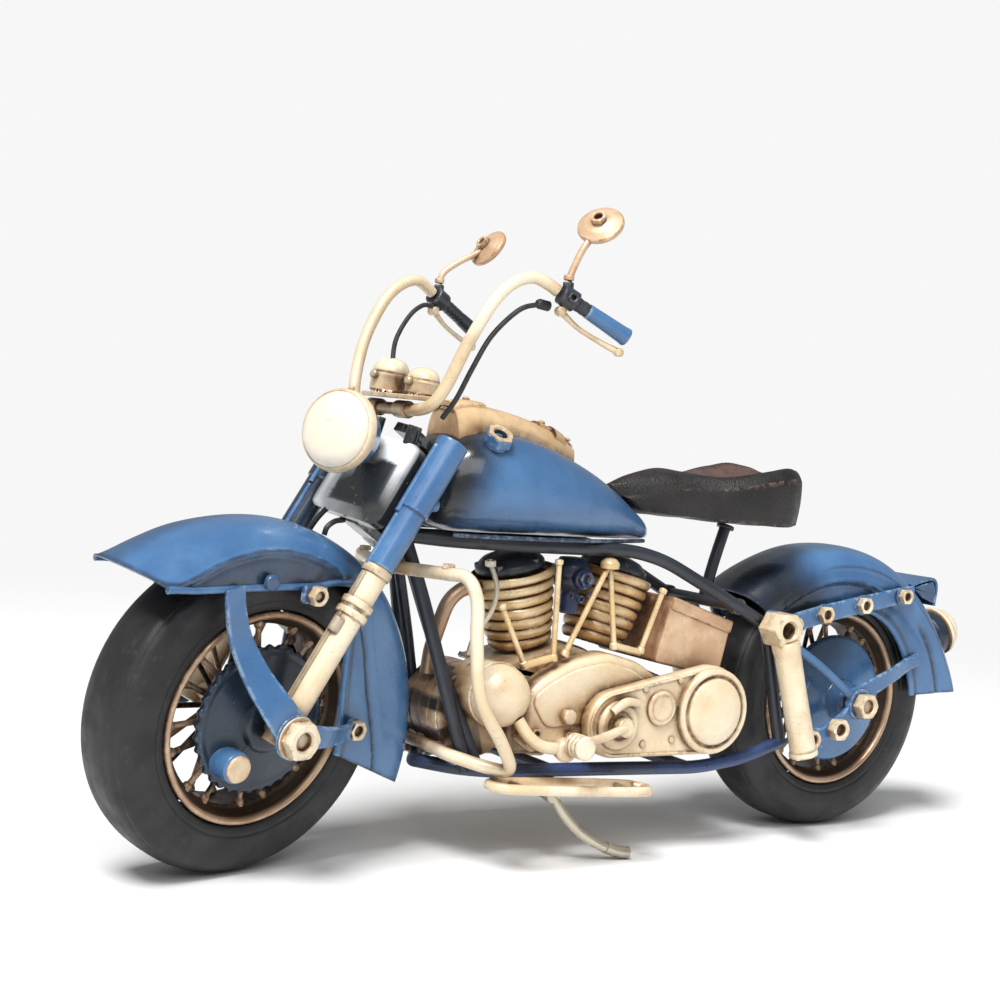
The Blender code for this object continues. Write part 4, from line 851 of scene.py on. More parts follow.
def tank_grid():
    """Superellipse sections along x: half cos a and rise sin a, each to the power two over TANK_POWER."""
    share = np.linspace(0, 1, 90)
    x = TANK_REAR + TANK_LONG * (0.35 * (0.5 - 0.5 * np.cos(np.pi * share)) + 0.65 * share)
    half, low, middle, high = (level[:, None] for level in tank_levels(x))
    a = (2 * np.pi * np.arange(96) / 96)[None]
    rise = np.where(np.sin(a) > 0, high - middle, middle - low)
    signed = [np.sign(f(a)) * np.abs(f(a)) ** (2 / TANK_POWER) for f in (np.cos, np.sin)]
    return np.stack([x[:, None] + 0 * a, half * signed[0], middle + rise * signed[1]], -1)


def console_surface(x, s):
    """The console's crest over the tank: down from the crest by a power of the share s across it."""
    half, crest = np.moveaxis(table(CONSOLE, x), -1, 0)
    rim = tank_top(x, half * s) + 2.0
    return half * s * 0.97, np.maximum(rim + (crest - rim) * (1 - np.abs(s) ** 2.6) ** 0.7, rim)


def console_plate(x0, x1, share, lift, narrow=1.0):
    """A thin plate that follows the console from x0 to x1, share of its width, lift proud of it."""
    x, s = np.meshgrid(np.linspace(x0, x1, 16), np.linspace(-share, share, 25), indexing="ij")
    s = s * np.linspace(narrow, 1, 16)[:, None]
    y, z = console_surface(x, s)
    top = np.stack([x, y, z + lift], -1)
    low = np.stack([x, y * 1.04, z - 0.6], -1)
    mid = top + (low - top) * 0.18
    mid[..., 1] *= 1.02
    return np.concatenate([low, mid[:, :1], top, mid[:, -1:], low[:, ::-1]], axis=1)


class TINBIKE_OT_tank(bpy.types.Operator):
    """Shape the fuel tank, its console and its cap"""

    bl_idname = "tin_motorcycle.tank"
    bl_label = "Tank and console"
    bl_options = {"REGISTER", "UNDO"}

    def execute(self, context):
        grid = tank_grid()
        x, y, z = np.moveaxis(grid, -1, 0)
        grid = grid + normals_of(grid) * 0.12 * rolling(grid, 14.0, 4)[..., None]
        front = step(x + 0.32 * (z - 128), 46.0, 60.0)
        under = step(-z, -115.0, -111.6) * 0.85
        ridge = step(z - 140.5 - 0.08 * (x - 30), 1.5, 6.0) * 0.6
        ridge = np.maximum(ridge, 0.6 * step(-x, 14, 30) * step(z, 112, 122))
        tank = Shell().add(grid, soot=np.maximum.reduce([front, under, ridge]))
        seam = curve([(x, 0.86 * float(tank_levels(x)[0]), 111.0) for x in np.linspace(-27, 60, 14)], 4)
        for side in (1, -1):
            tank.add(carried(mirrored(seam, side), ring(0.75, 10)), soot=0.85)
        make("tank_shell", tank, BLUE, "chassis", BLUE, "fuel_tank")
        console = Shell()
        x = np.linspace(2.0, 57.0, 60)[:, None]
        s = np.sin(np.linspace(-np.pi / 2, np.pi / 2, 41))[None]
        x, s = np.broadcast_arrays(x, s)
        y, z = console_surface(x, s)
        half = table(CONSOLE, x)[..., 0]
        top = np.stack([x, y, z], -1)
        top = top + np.array([0, 0, 1.0]) * 0.16 * rolling(top, 5.0, 9)[..., None]
        low = np.stack([x, half * s, tank_top(x, half * s) - 0.5], -1)
        console.add(np.concatenate([top, low[:, ::-1]], axis=1))
        console.add(console_plate(3.0, 20.0, 0.55, 1.0, 0.4))
        console.add(console_plate(8.0, 13.5, 0.8, 1.6), soot=0.15)
        console.add(console_plate(44.0, 57.4, 0.62, 1.1, 0.9))
        for at in (5.5, 17.0, 49.0):
            y, z = console_surface(np.array([at]), np.array([0.0]))
            console.spun([(1.3, 0), (1.3, 0.8), (0.7, 1.3)], (at, 0, float(z[0]) + 0.9),
                    (-0.2, 0, 1), 20, 0.3)
        make("dash_console", console, "ochre", "chassis", CREAM, "tank_console")
        cap = Shell()
        at_x, at_y = 46.5, 17.4
        slope = float(tank_top(at_x, at_y + 0.5) - tank_top(at_x, at_y - 0.5))
        normal = unit((0, -slope, 1))
        seat = np.array([at_x, at_y, float(tank_top(at_x, at_y))])
        cap.spun([(4.4, -0.6), (4.4, 0.9), (3.8, 1.4)], seat, normal, 48)
        cap.add(nut(seat + normal * 1.0, normal, 5.2, 3.2, 0.5), wrap_u=True, caps=False)
        cap.spun([(2.2, 0), (2.2, 2.0)], seat + normal * 1.0, normal, 32, 0.3, soot=1.0)
        make("cap_blue", cap, BLUE, "chassis", CREAM)
        insert = Shell().add(nut(seat + normal * 4.0, normal, 4.8, 0.9, 0.5), wrap_u=True, caps=False)
        make("cap_button", insert, CREAM, "chassis", CREAM, "filler_cap")
        return {"FINISHED"}


class TINBIKE_OT_saddle(bpy.types.Operator):
    """Shape the dished saddle"""

    bl_idname = "tin_motorcycle.saddle"
    bl_label = "Saddle"
    bl_options = {"REGISTER", "UNDO"}

    def execute(self, context):
        share = np.linspace(0, 1, 110)
        x = SEAT_REAR + SEAT_LONG * (0.55 * (0.5 - 0.5 * np.cos(np.pi * share)) + 0.45 * share)
        half, low, middle, rim = np.moveaxis(table(SEAT, x), -1, 0)[:, :, None]
        s = np.sin(np.linspace(-np.pi / 2, np.pi / 2, 57))[None]
        dish = middle + (rim - middle) * np.minimum(np.abs(s) / 0.82, 1.0) ** 2
        top = dish - 4.4 * np.clip((np.abs(s) - 0.72) / 0.28, 0, 1) ** 2.2
        skirt = low + 1.0 * s**2
        upper = np.stack([x[:, None] + 0 * s, half * s, top], -1)
        lower = np.stack([x[:, None] + 0 * s, half * s * 0.93, skirt + 0 * s], -1)
        side = [upper[:, -1:] * (1 - t) + lower[:, -1:] * t + np.array([0,
                0.8 * math.sin(math.pi * t), 0]) for t in (0.12, 0.3, 0.5, 0.7, 0.9)]
        other = [mirrored(row) for row in side[::-1]]
        grid = np.concatenate([upper, *side, lower[:, ::-1], *other], axis=1)
        grid = grid + normals_of(grid) * 0.22 * rolling(grid, 4.5, 12)[..., None]
        shell = Shell().add(grid)
        saddle = make("saddle", shell, SADDLE, "chassis", SADDLE, "seat", sharp=60.0)
        count = len(saddle.data.vertices)
        at = np.empty(count * 3)
        saddle.data.vertices.foreach_get("co", at)
        at = at.reshape(-1, 3) / MM - ORIGIN
        half, _, middle, rim = np.moveaxis(table(SEAT, at[:, 0]), -1, 0)
        on_top = step(at[:, 2] - (middle - 1.6), 0.0, 1.0)
        across = 1 - step(np.abs(at[:, 1]) / half, 0.66, 0.86)
        behind = 1 - step(at[:, 0], -62.0, -46.0)
        inside = step(at[:, 0], -97.5, -93.0)
        pan = on_top * across * np.maximum(behind * inside, 0.12)
        saddle.data.attributes.new("pan", "FLOAT", "POINT").data.foreach_set("value", pan)
        return {"FINISHED"}


# ---- engine ----

JUG_LEAN = math.radians(14.6)
LEAN = math.sin(JUG_LEAN), math.cos(JUG_LEAN)
CYLINDERS = {"front": ((18.0, 0, 72.4), (LEAN[0], 0, LEAN[1])), "rear": ((-13.0, 0, 72.4),
        (-LEAN[0], 0, LEAN[1]))}
CYLINDER_LONG = 27.0
COVER_BOLTS = 5
BARREL = np.array([42.0, 0, 50.4])


def ribbed(ribs):
    """A barrel's profile: a cone that widens with t, under broad rounded ribs (absolute sine to a power)."""
    t = np.linspace(0, 1, ribs * 16 + 1)
    r = (11.0 + 4.6 * t**0.8) * (0.91 + 0.09 * np.abs(np.sin(np.pi * ribs * t)) ** 0.5)
    body = np.stack([r, CYLINDER_LONG * t], -1)
    return np.concatenate([[(0, 0)], body, [(0, CYLINDER_LONG)]])


class TINBIKE_OT_engine(bpy.types.Operator):
    """Cast the crankcase, cylinders, covers, rods and pipes"""

    bl_idname = "tin_motorcycle.engine"
    bl_label = "Engine"
    bl_options = {"REGISTER", "UNDO"}

    def execute(self, context):
        block = [(30, 36), (30, 64), (37, 66.2), (22, 70), (7.4, 74.0), (-7, 70), (-25, 66.0),
                (-40, 61), (-60, 57), (-63, 46), (-58, 36.5), (-40, 34)]
        bulge = [(28, 58), (22, 63.5), (10, 69.4), (-6, 72.0), (-20, 68.4), (-31, 61), (-31, 40), (28, 40)]
        case = Shell().add(slab(soften(block, 3.5, 6, True), -14.4, 14.4, 1.4))
        case.add(slab(soften(bulge, 4.0, 8, True), 10, 22.3, 2.6, 9))
        case.add(slab(soften(bulge, 4.0, 8, True), -20.0, -10, 2.6, 9))
        case.add(slab(soften([(27, 56), (20, 61.6), (9, 66.8), (-5, 69.2), (-17, 66), (-25, 60),
                (-25, 50), (20, 46)], 4.0, 8, True), 20.6, 22.9, 0.9, 6))
        dome = [(10.6, -12.0), (10.6, 6.0), (9.9, 9.0), (8.2, 11.2), (5.4, 12.6), (2.4, 13.1), (0, 13.2)]
        case.spun(dome, (41.0, 19.0, 58.4), ALONG_Y, 72, 1.2)
        case.spun([(11.2, 0), (11.2, 1.6)], (41.0, 21.5, 58.4), ALONG_Y, 72, 0.5)
        case.spun([(8.0, 0), (8.0, 3.0)], (32, 11, 58.4), ALONG_Y)
        for x, z in ((24, 44.6), (10, 43.4), (-58.6, 47)):
            case.bolt((x, 14.2 if x < -50 else 22.2, z), ALONG_Y, 2.0, 1.6)
        case.rod((30.5, 22.0, 44.5), (30.5, 31.0, 42.6), 2.4)
        case.add(tube([(36.0, 29.0, 51.0), (33.0, 31.4, 46.0), (28.0, 32.6, 42.6),
                (20.5, 33.4, 41.4)], 2.1))
        case.spun([(3.9, -2.2), (3.9, 2.4), (2.6, 3.2)], (19.0, 33.2, 41.2), (0.25, 1, -0.1), 32, 0.6)
        case.spun([(2.6, 0), (2.6, 4)], (12.0, 22.0, 50.5), ALONG_Y, 32)
        make("engine_case", case, CREAM, "chassis", CREAM, "crankcase")

        barrel = Shell()
        steps = np.linspace(-12.0, 11.7, 140)
        groove = np.abs(((steps + 12.0) / 5.9) % 1.0 - 0.5)
        radius = 15.6 - 0.7 * step(groove, 0.4, 0.5)
        profile = np.concatenate([[(0, -12.0)], [(14.0, -12.0)], np.stack([radius, steps], -1),
                [(13.6, 11.9)], [(0, 11.9)]])
        a = 2 * np.pi * np.arange(96) / 96
        stripes = step(np.sin(a * 7.0 + 1.1 * np.sin(a * 2.0)), -0.1, 0.35)
        soot = np.broadcast_to(stripes[None], (len(profile), 96))
        barrel.add(lathe(profile, BARREL, ALONG_Y, 96), caps=False, soot=soot)
        barrel.add(tube([(46, 12.4, 60), (50, 14.4, 52), (48.6, 15.4, 42)], 1.0))
        make("generator_barrel", barrel, CREAM, "chassis", CREAM, "generator")

        for name, (foot, lean) in CYLINDERS.items():
            foot, lean = np.array(foot), np.array(lean)
            grid = lathe(ribbed(sizes().ribs), foot, lean, 96)
            groove = np.abs(np.sin(np.pi * sizes().ribs * np.linspace(0, 1, len(grid)))) ** 0.5
            browned = np.broadcast_to(1 - step(groove, 0.35, 0.85)[:, None], grid.shape[:2])
            jug = Shell().add(grid + normals_of(grid) * 0.3 * rolling(grid, 4.0, 6)[..., None],
                    caps=False, soot=browned)
            make(f"jug_{name}", jug, "gilt", "chassis", CREAM, f"cylinder_{name}")
            top = foot + lean * (CYLINDER_LONG + 0.2)
            cover = Shell().spun([(12.4, 0), (12.4, 2.2), (11.4, 3.4), (9.4, 5.2), (5.0, 6.4),
                    (0, 6.7)], top, lean, 72, 0.7)
            for k in range(COVER_BOLTS):
                u, v, _ = square_to(lean)
                angle = 2 * np.pi * (k + 0.3) / COVER_BOLTS
                at = top + lean * 2.0 + (u * math.cos(angle) + v * math.sin(angle)) * 10.9
                cover.bolt(at, lean, 1.5, 1.7)
            make(f"rocker_cover_{name}", cover, BLACK, "chassis", BLACK, f"rocker_{name}")

        primary = Shell()
        outline = around((-48.0, 52.0), 16.2, (-6.0, 48.0), 12.0, 40)
        primary.add(slab(outline, 22.75, 28.6, 1.6, 8))
        rib = around((-48.0, 52.0), 14.9, (-6.0, 48.0), 10.8, 40)
        path = np.stack([rib[:, 0], np.full(len(rib), 28.5), rib[:, 1]], -1)
        primary.add(carried(path, ring(0.55, 10), closed=True, up=ALONG_Y), wrap_u=True)
        clutch = [(15.6, -1.2), (15.6, 2.2), (14.9, 2.9), (13.6, 2.9), (13.0, 2.0), (12.4, 2.0),
                (12.0, 3.1), (11.2, 3.6), (8.0, 4.4), (4.6, 4.8), (0, 4.95)]
        primary.spun(clutch, (-48.0, 28.6, 52.0), ALONG_Y, 96, 0.45)
        primary.spun([(6.3, -0.6), (6.3, 0.9), (5.3, 1.5), (4.6, 1.2), (0, 1.3)],
                (-25.0, 28.6, 53.5), ALONG_Y, 64, 0.35)
        primary.spun([(8.6, -0.6), (8.6, 1.2), (7.4, 2.2), (5.4, 2.2), (4.8, 1.6), (0, 1.6)],
                (-6.0, 28.6, 48.0), ALONG_Y, 64, 0.4)
        primary.add(tube([(-14.0, 29.0, 55.5), (-7.0, 31.5, 56.4), (-1.5, 31.3, 53.0)], 1.6))
        for x, z in ((-31.0, 42.0), (-18.0, 40.8), (-33.0, 63.2), (-17.5, 60.4)):
            primary.spun([(1.3, -0.4), (1.3, 0.8), (0.6, 1.1)], (x, 28.4, z), ALONG_Y, 24, 0.3, soot=0.25)
        make("primary_case", primary, CREAM, "chassis", CREAM, "primary_cover")

        carb = Shell().spun([(3.4, 0), (3.4, 7.4), (5.8, 9.6), (6.5, 11.0), (6.5, 12.4),
                (6.0, 13.0), (6.4, 14.0), (6.2, 17.0), (4.6, 20.0)], (2.6, 6.0, 84.0), (0, 0, 1),
                48)
        carb.rod((2.6, -8.0, 97.0), (2.6, 14.5, 97.0), 3.6, 32)
        carb.bolt((2.6, 14.3, 97.0), ALONG_Y, 3.0, 1.8)
        for k in range(3):
            carb.bolt((2.6 - 4.4 + 4.4 * k, 11.9, 91.0 - 1.2 * (k % 2)), ALONG_Y, 1.5, 1.2)
        make("carburettor_body", carb, "midnight", "chassis", BLACK, "carburettor")

        front, rear = Shell(), Shell()
        for shell, rods, foot in (
            (front, [((40.2, 19.4, 88.6), (28.3, 19.4, 66.8)), ((17.6, 19.0, 104.4), (17.0, 19.4, 69.0))],
             ((28.8, 19.4, 67.6), (16.6, 19.4, 70.4))),
            (rear, [((-4.0, 19.4, 103.6), (12.8, 19.4, 70.6)), ((-4.0, 19.4, 103.6), (-9.0, 19.4, 73.0)),
                ((-29.5, 19.0, 95.0), (-20.4, 19.4, 71.4))],
             ((-9.0, 19.4, 74.2), (-20.6, 19.4, 71.8))),
        ):
            shell.rod(*foot, 1.4)
            for high, low in rods:
                high, low = np.array(high), np.array(low)
                way = unit(high - low)
                shell.rod(low, high, 1.0)
                shell.spun([(1.6, 0), (1.7, 0.8), (1.4, 2.2), (1.0, 2.6)], low, way, 24, 0.3)
                shell.spun([(1.0, 0), (1.5, 0.5), (1.5, 2.0)], high - way * 2.2, way, 24, 0.3)
        rear.spun([(3.4, 0), (3.4, 2.2), (2.0, 3.6), (0, 4.0)], (-4.0, 19.4, 101.6), (0, 0, 1), 32)
        make("push_tubes_front", front, "gilt", "chassis", CREAM, "pushrods_front")
        make("push_tubes_rear", rear, "gilt", "chassis", CREAM, "pushrods_rear")

        line = [(44, 17.2, 101.4), (42, 18.6, 94), (43.5, 18.8, 86), (48.5, 17.4, 77.5), (49, 15, 71)]
        feed = Shell().add(tube(line, 0.85))
        feed.bolt((44.3, 17.0, 101.0), (0.1, 0.1, 1), 1.9, 2.0)
        make("oil_feed", feed, STEEL, "chassis", STEEL, "oil_line")
        pipe = Shell().add(tube([(39.6, 2, 92.4), (45.6, 2, 91.0), (50.2, 1.6, 86.6),
                (52.6, 0.8, 79), (54.6, 0, 70), (55.4, 0, 62)], 2.6, 8))
        pipe.spun([(3.4, 0), (3.4, 1.6)], (39.8, 2, 92.4), (1.0, 0, -0.1), 32)
        make("exhaust_pipe", pipe, BRONZE, "chassis", BRONZE, "exhaust_header")
        outline = soften([(-34.6, 91.0), (-63.7, 82.2), (-59.4, 62.0), (-28.8, 68.0)], 1.8, 6, True)
        oil = Shell().add(slab(outline, -17.4, 18.4, 0.8, 6))
        rim = soften([(-35.2, 92.0), (-64.4, 83.2), (-63.2, 78.6), (-34.0, 87.4)], 1.0, 4, True)
        oil.add(slab(rim, -17.8, 18.9, 0.5, 4))
        make("oil_box", oil, "copper", "chassis", CREAM, "oil_tank")
        pedal = Shell().rod((-6.0, 31.0, 48.0), (-6.0, 34.6, 48.0), 3.4, 32)
        pedal.add(tube([(-6.0, 33.4, 48.0), (4, 35.4, 45.4), (17, 37.4, 43.4)], 1.6))
        grooves = [(r, y) for k in range(4) for r, y in ((3.5, 2.1 * k), (4.1, 2.1 * k + 0.5),
                (4.1, 2.1 * k + 1.5))]
        pedal.spun([*grooves, (3.5, 8.4)], (17, 35.0, 43.4), ALONG_Y, 48, 0.25)
        make("pedal_arm", pedal, CREAM, "chassis", CREAM, "shift_pedal")
        return {"FINISHED"}


# ---- wheels ----


def tyre_section():
    """Half of the tyre's outline as (radius, y), then the other half: tread, edge line, sidewall, bead."""
    half = [(52.0, 0.0), (51.85, 4.6), (51.2, 7.6), (50.5, 9.0), (50.1, 9.3), (50.0, 9.9),
            (49.0, 11.0), (46.2, 12.3), (42.0, 12.8), (38.6, 12.5), (37.9, 12.0), (37.2, 12.1),
            (35.2, 11.4), (34.7, 10.0)]
    return soften([*half, *[(r, -y) for r, y in half[:0:-1]]], 0.9, 5, True)


def rim_section():
    """The rim's closed outline as (radius, y): one flange from well to lip, then its mirror image."""
    side = [(32.0, 6.2), (33.6, 8.2), (34.5, 10.2), (34.5, 11.6), (33.5, 12.1), (32.5, 11.5),
            (32.0, 9.4), (30.6, 7.0), (29.5, 6.3)]
    return soften([*side, *[(r, -y) for r, y in side[::-1]]], 0.55, 5, True)


def build_wheel(which, at, group, body):
    """A tyre; and a rim, its hub and its spokes: each pair leans both ways from one angle."""
    sides = sizes().wheel_sides
    section = tyre_section()
    tyre = hoop(section, at, sides)
    tyre = tyre + normals_of(tyre) * 0.06 * rolling(tyre, 9.0, 5)[..., None]
    make(f"{which}_rubber", Shell(group).add(tyre, wrap_u=True), RUBBER, body, RUBBER,
            f"{which}_tyre", sharp=60.0)
    section = rim_section()
    inner = (section[:, 0] < 32.2) & (np.abs(section[:, 1]) < 11.0)
    soot = np.broadcast_to(np.where(inner, 0.9, 0.0)[None], (sides, len(section)))
    wheel = Shell(group).add(hoop(section, at, sides), wrap_u=True, soot=soot)
    pairs = sizes().spokes
    for side in (-1, 1):
        wheel.spun([(5.0, 0.0), (5.4, 0.4), (5.4, 2.2), (4.4, 2.8), (4.4, 9.0)],
                at + np.array([0, side * 9.0, 0]), (0, -side, 0), 40, 0.3, soot=0.4)
        for k in range(pairs):
            for lean in (-1, 1):
                a = 2 * np.pi * (k + 0.25 * side) / pairs
                b = a + lean * 0.62 * np.pi / pairs
                near = at + np.array([4.4 * math.cos(a), side * 7.9, 4.4 * math.sin(a)])
                far = at + np.array([30.4 * math.cos(b), side * 5.4, 30.4 * math.sin(b)])
                wheel.rod(near, far, 0.95, 10, soot=0.95 if lean > 0 else 0.05)
                out = unit(far - near)
                wheel.spun([(1.7, 0), (1.5, 2.2), (1.0, 3.0)], far + out * 0.4, -out, 12, 0.2, soot=0.2)
    make(f"{which}_wheel_rim", wheel, BRONZE, body, BRONZE, f"{which}_rim")


class TINBIKE_OT_wheels(bpy.types.Operator):
    """Turn the tyres, rims, spokes and the rear disc"""

    bl_idname = "tin_motorcycle.wheels"
    bl_label = "Wheels"
    bl_options = {"REGISTER", "UNDO"}

    def execute(self, context):
        build_wheel("front", FRONT_AXLE, "fork", "front_wheel")
        build_wheel("rear", REAR_AXLE, "body", "rear_wheel")
        disc = Shell()
        face = soften([(0, 9.6), (24.4, 9.6), (25.0, 10.4), (25.0, 11.4), (24.0, 12.6),
                (21.6, 13.2), (9.4, 15.8), (8.0, 16.4), (7.2, 21.6), (6.0, 23.6), (0, 23.8)], 0.5)
        grid = lathe(face, REAR_AXLE, ALONG_Y, 96)
        shade = step(-(grid[..., 0] - REAR_AXLE[0]) * -0.8 + (grid[..., 2] - 52) * 0.5, -4, 14) * 0.75
        disc.add(grid, caps=False, soot=shade)
        for x, z, r in ((1.0, 11.6, 2.4), (13.2, 4.8, 2.4), (-3.4, -14.6, 2.4), (-13.0, -4.0, 2.0),
                (3.5, -18.0, 1.5)):
            y = 13.0 + 2.8 * (1 - math.hypot(x, z) / 21)
            rim = soften([(r, -0.6), (r + 0.9, -0.6), (r + 0.9, 0.3), (r, 0.3)], 0.3, 4, True)
            at = REAR_AXLE + np.array([x, y, z])
            disc.add(lathe(rim, at, ALONG_Y, 32), wrap_u=True, caps=False)
            disc.spun([(r * 1.02, -0.4), (r * 1.02, 0.05), (0, 0.05)], at, ALONG_Y, 32, 0.05, soot=1.0)
        make("rear_brake_disc", disc, BLUE, "rear_wheel", BLUE, "rear_disc")
        return {"FINISHED"}


# ---- fork and headlight ----

DRUM_STEPS, DRUM_FLUTES = 288, 36
HEADLIGHT_TURN = 14.0


def on_panel(local, centre):
    """Points given as (across, ahead, up the steering axis) about a centre."""
    ahead = np.array([math.cos(RAKE), 0, math.sin(RAKE)])
    return centre + local[..., :1] * np.array([0, 1.0, 0]) + local[..., 1:2] * ahead + local[...,
            2:] * STEER_AXIS


class TINBIKE_OT_fork(bpy.types.Operator):
    """Turn the fork legs, sleeves, drum and axle and press the front plate"""

    bl_idname = "tin_motorcycle.fork"
    bl_label = "Fork"
    bl_options = {"REGISTER", "UNDO"}

    def execute(self, context):
        for name, side in SIDES:
            low, top = fork_point(48.6, side), fork_point(103.4, side)
            leg = Shell("fork").rod(low, top, 4.4, 48)
            knee = fork_point(87.6, side)
            leg.spun([(4.3, 0), (5.3, 0.4), (5.3, 2.4), (4.9, 2.8), (4.9, 3.6), (5.3, 4.0),
                    (5.3, 6.0), (4.3, 6.4)], knee, STEER_AXIS, 64, 0.3)
            ahead = np.array([4.7, 0, 0.0])
            leg.rod(fork_point(58.0, side) + ahead, fork_point(102.4, side) + ahead, 0.95, 12, soot=0.55)
            clamp = fork_point(84.0, side) + np.array([4.9, side * 1.0, 0])
            leg.rod(clamp, clamp + STEER_AXIS * 5.0, 2.0, 20, soot=0.5)
            leg.spun([(5.0, 0), (5.0, 2.6), (4.6, 3.0)], fork_point(101.0, side), STEER_AXIS, 64,
                    0.3, soot=0.3)
            make(f"fork_leg_{name}", leg, CREAM, "fork", CREAM, f"fork_tube_{name}")
            foot, mid, head = fork_point(103.6, side), fork_point(121.6, side), fork_point(144.6, side)
            one, full = (float(np.linalg.norm(p - foot)) for p in (mid, head))
            # Painted shade: the right sleeve, on the far side, takes the dark second coat; the left one does
            # not.
            sleeve = Shell("fork").spun([(4.7, 0), (4.7, one), (5.3, one + 0.2), (5.3, full - 0.4),
                    (4.9, full)], foot, STEER_AXIS, 64, 0.35, soot=0.0 if side > 0 else 0.85)
            front = np.array([4.9, -side * 1.0, 0])
            sleeve.rod(fork_point(105.0, side) + front, fork_point(121.0, side) + front, 0.9, 14)
            front = np.array([5.3, -side * 1.2, 0])
            sleeve.rod(fork_point(121.8, side) + front, fork_point(143.6, side) + front, 1.0, 14)
            stud = fork_point(123.4, side) + np.array([-5.0, side * 1.6, 1.0])
            sleeve.spun([(2.2, 0), (2.2, 2.0), (1.2, 2.8)], stud, (-1, side * 0.5, 0.2), 24, 0.5)
            make(f"fork_cover_{name}", sleeve, BLUE, "fork", BLUE, f"fork_sleeve_{name}")

        plate = Shell("fork")
        centre = fork_point(128.0, 0) + np.array([4.0, 0, 0])
        outline = soften([(-17.2, -15), (17.2, -15), (17.2, 15), (-17.2, 15)], 4.5, 8, True)
        inner = [outline * share for share in np.linspace(1.0, 0.08, 14)]
        rows = np.stack([np.stack([o[:, 0], 2.9 - 0.006 * o[:, 0] ** 2 + 0.4 * step(-np.abs(o[:,
                1]), -15.2, -13.4) - 0.4, o[:, 1]], -1) for o in inner])
        back = np.stack([outline[:, 0], 0 * outline[:, 0] - 2.4, outline[:, 1]], -1)[None]
        local = np.concatenate([back * np.array([0.96, 1, 0.96]), back, rows])
        y, up = local[..., 0], local[..., 2]
        # Painted reflection: outside an ellipse the front face takes the near-white second coat, a painted
        # reflection of a lamp; the dark ellipse inside is painted where the headlight stands in front of that
        # reflection.
        painted_reflection = step(np.sqrt(((y - 7.5) / 17.0) ** 2 + ((up + 7.5) / 14.5) ** 2), 0.96, 1.02)
        painted_reflection = painted_reflection * step(local[..., 1], 1.0, 1.8)
        plate.add(on_panel(local, centre), soot=painted_reflection)
        for z in (104.9, 135.2):
            plate.spun([(6.2, 0), (6.2, 3.2)], steer_point(z), STEER_AXIS, 48, 0.4)
            bar = soften([(-4.5, 0), (4.5, 0), (4.5, 17.4), (-4.5, 17.4)], 0.8, 4, True)
            flat = slab(bar, 0.0, 3.2, 0.4, 4)[..., [0, 2, 1]]
            plate.add(on_panel(flat, steer_point(z)))
        plate.rod(steer_point(106.0), steer_point(137.0), 2.8, 32)
        for y in (-9.0, 9.0):
            plate.rod((80.6, y, 138.0), (78.6, y, 147.2), 2.4)
        make("fork_plate", plate, "black_plate_painted_reflection", "fork", BLACK, "nacelle")
        line = [(95.0, 0, 113.8), (99.0, 0.4, 113.4), (102.2, 0.8, 111.6), (102.8, 0.6, 109.0)]
        hose = Shell("fork").add(tube(line, 0.9, 8))
        hose.add(tube([(92.0, -6, 120), (97.0, -9.0, 114), (99.5, -12, 106), (97.5, -15.0, 99.0)], 0.9, 10))
        make("brake_hose", hose, "hose", "fork", BLACK, "brake_line")

        facing = turn((0, 0, 1), HEADLIGHT_TURN) @ unit((1.0, 0.0, 0.2))
        lens_at = np.array([103.4, 0.0, 143.2])
        bucket = Shell("fork").spun([(3.0, -18.0), (5.2, -16.6), (8.2, -13.0), (10.6, -9.0),
                (12.0, -4.6), (12.6, -2.4), (12.6, -0.6)], lens_at, facing, 96, 1.2)
        bucket.bolt(lens_at - facing * 17.6, -facing, 2.4, 1.6)
        make("lamp_bucket", bucket, BLUE, "fork", BLUE, "headlight_shell")
        ring_profile = soften([(11.9, -2.6), (13.3, -2.6), (13.7, -1.8), (13.5, -0.2), (13.2, 0.9),
                (12.4, 1.3), (11.9, 0.9)], 0.35, 4, True)
        bezel = Shell("fork").add(lathe(ring_profile, lens_at, facing, 96), wrap_u=True, caps=False)
        v = square_to(facing)[1]
        bezel.spun([(1.0, 0), (1.0, 1.4), (0.6, 1.8)], lens_at + v * 13.2 - facing * 1.4, v, 20, 0.3)
        make("lamp_bezel", bezel, CREAM, "fork", CREAM)
        t = np.linspace(0, np.pi / 2, 24)
        dome = np.stack([12.5 * np.cos(t) ** 0.8, 0.4 + 5.2 * np.sin(t)], -1)
        lens = Shell("fork").add(lathe(np.concatenate([[(0, -0.4)], [(12.5, -0.4)], dome]), lens_at,
                facing, 96), caps=False)
        make("lamp_lens", lens, "lamp", "fork", CREAM, "headlight_lens")

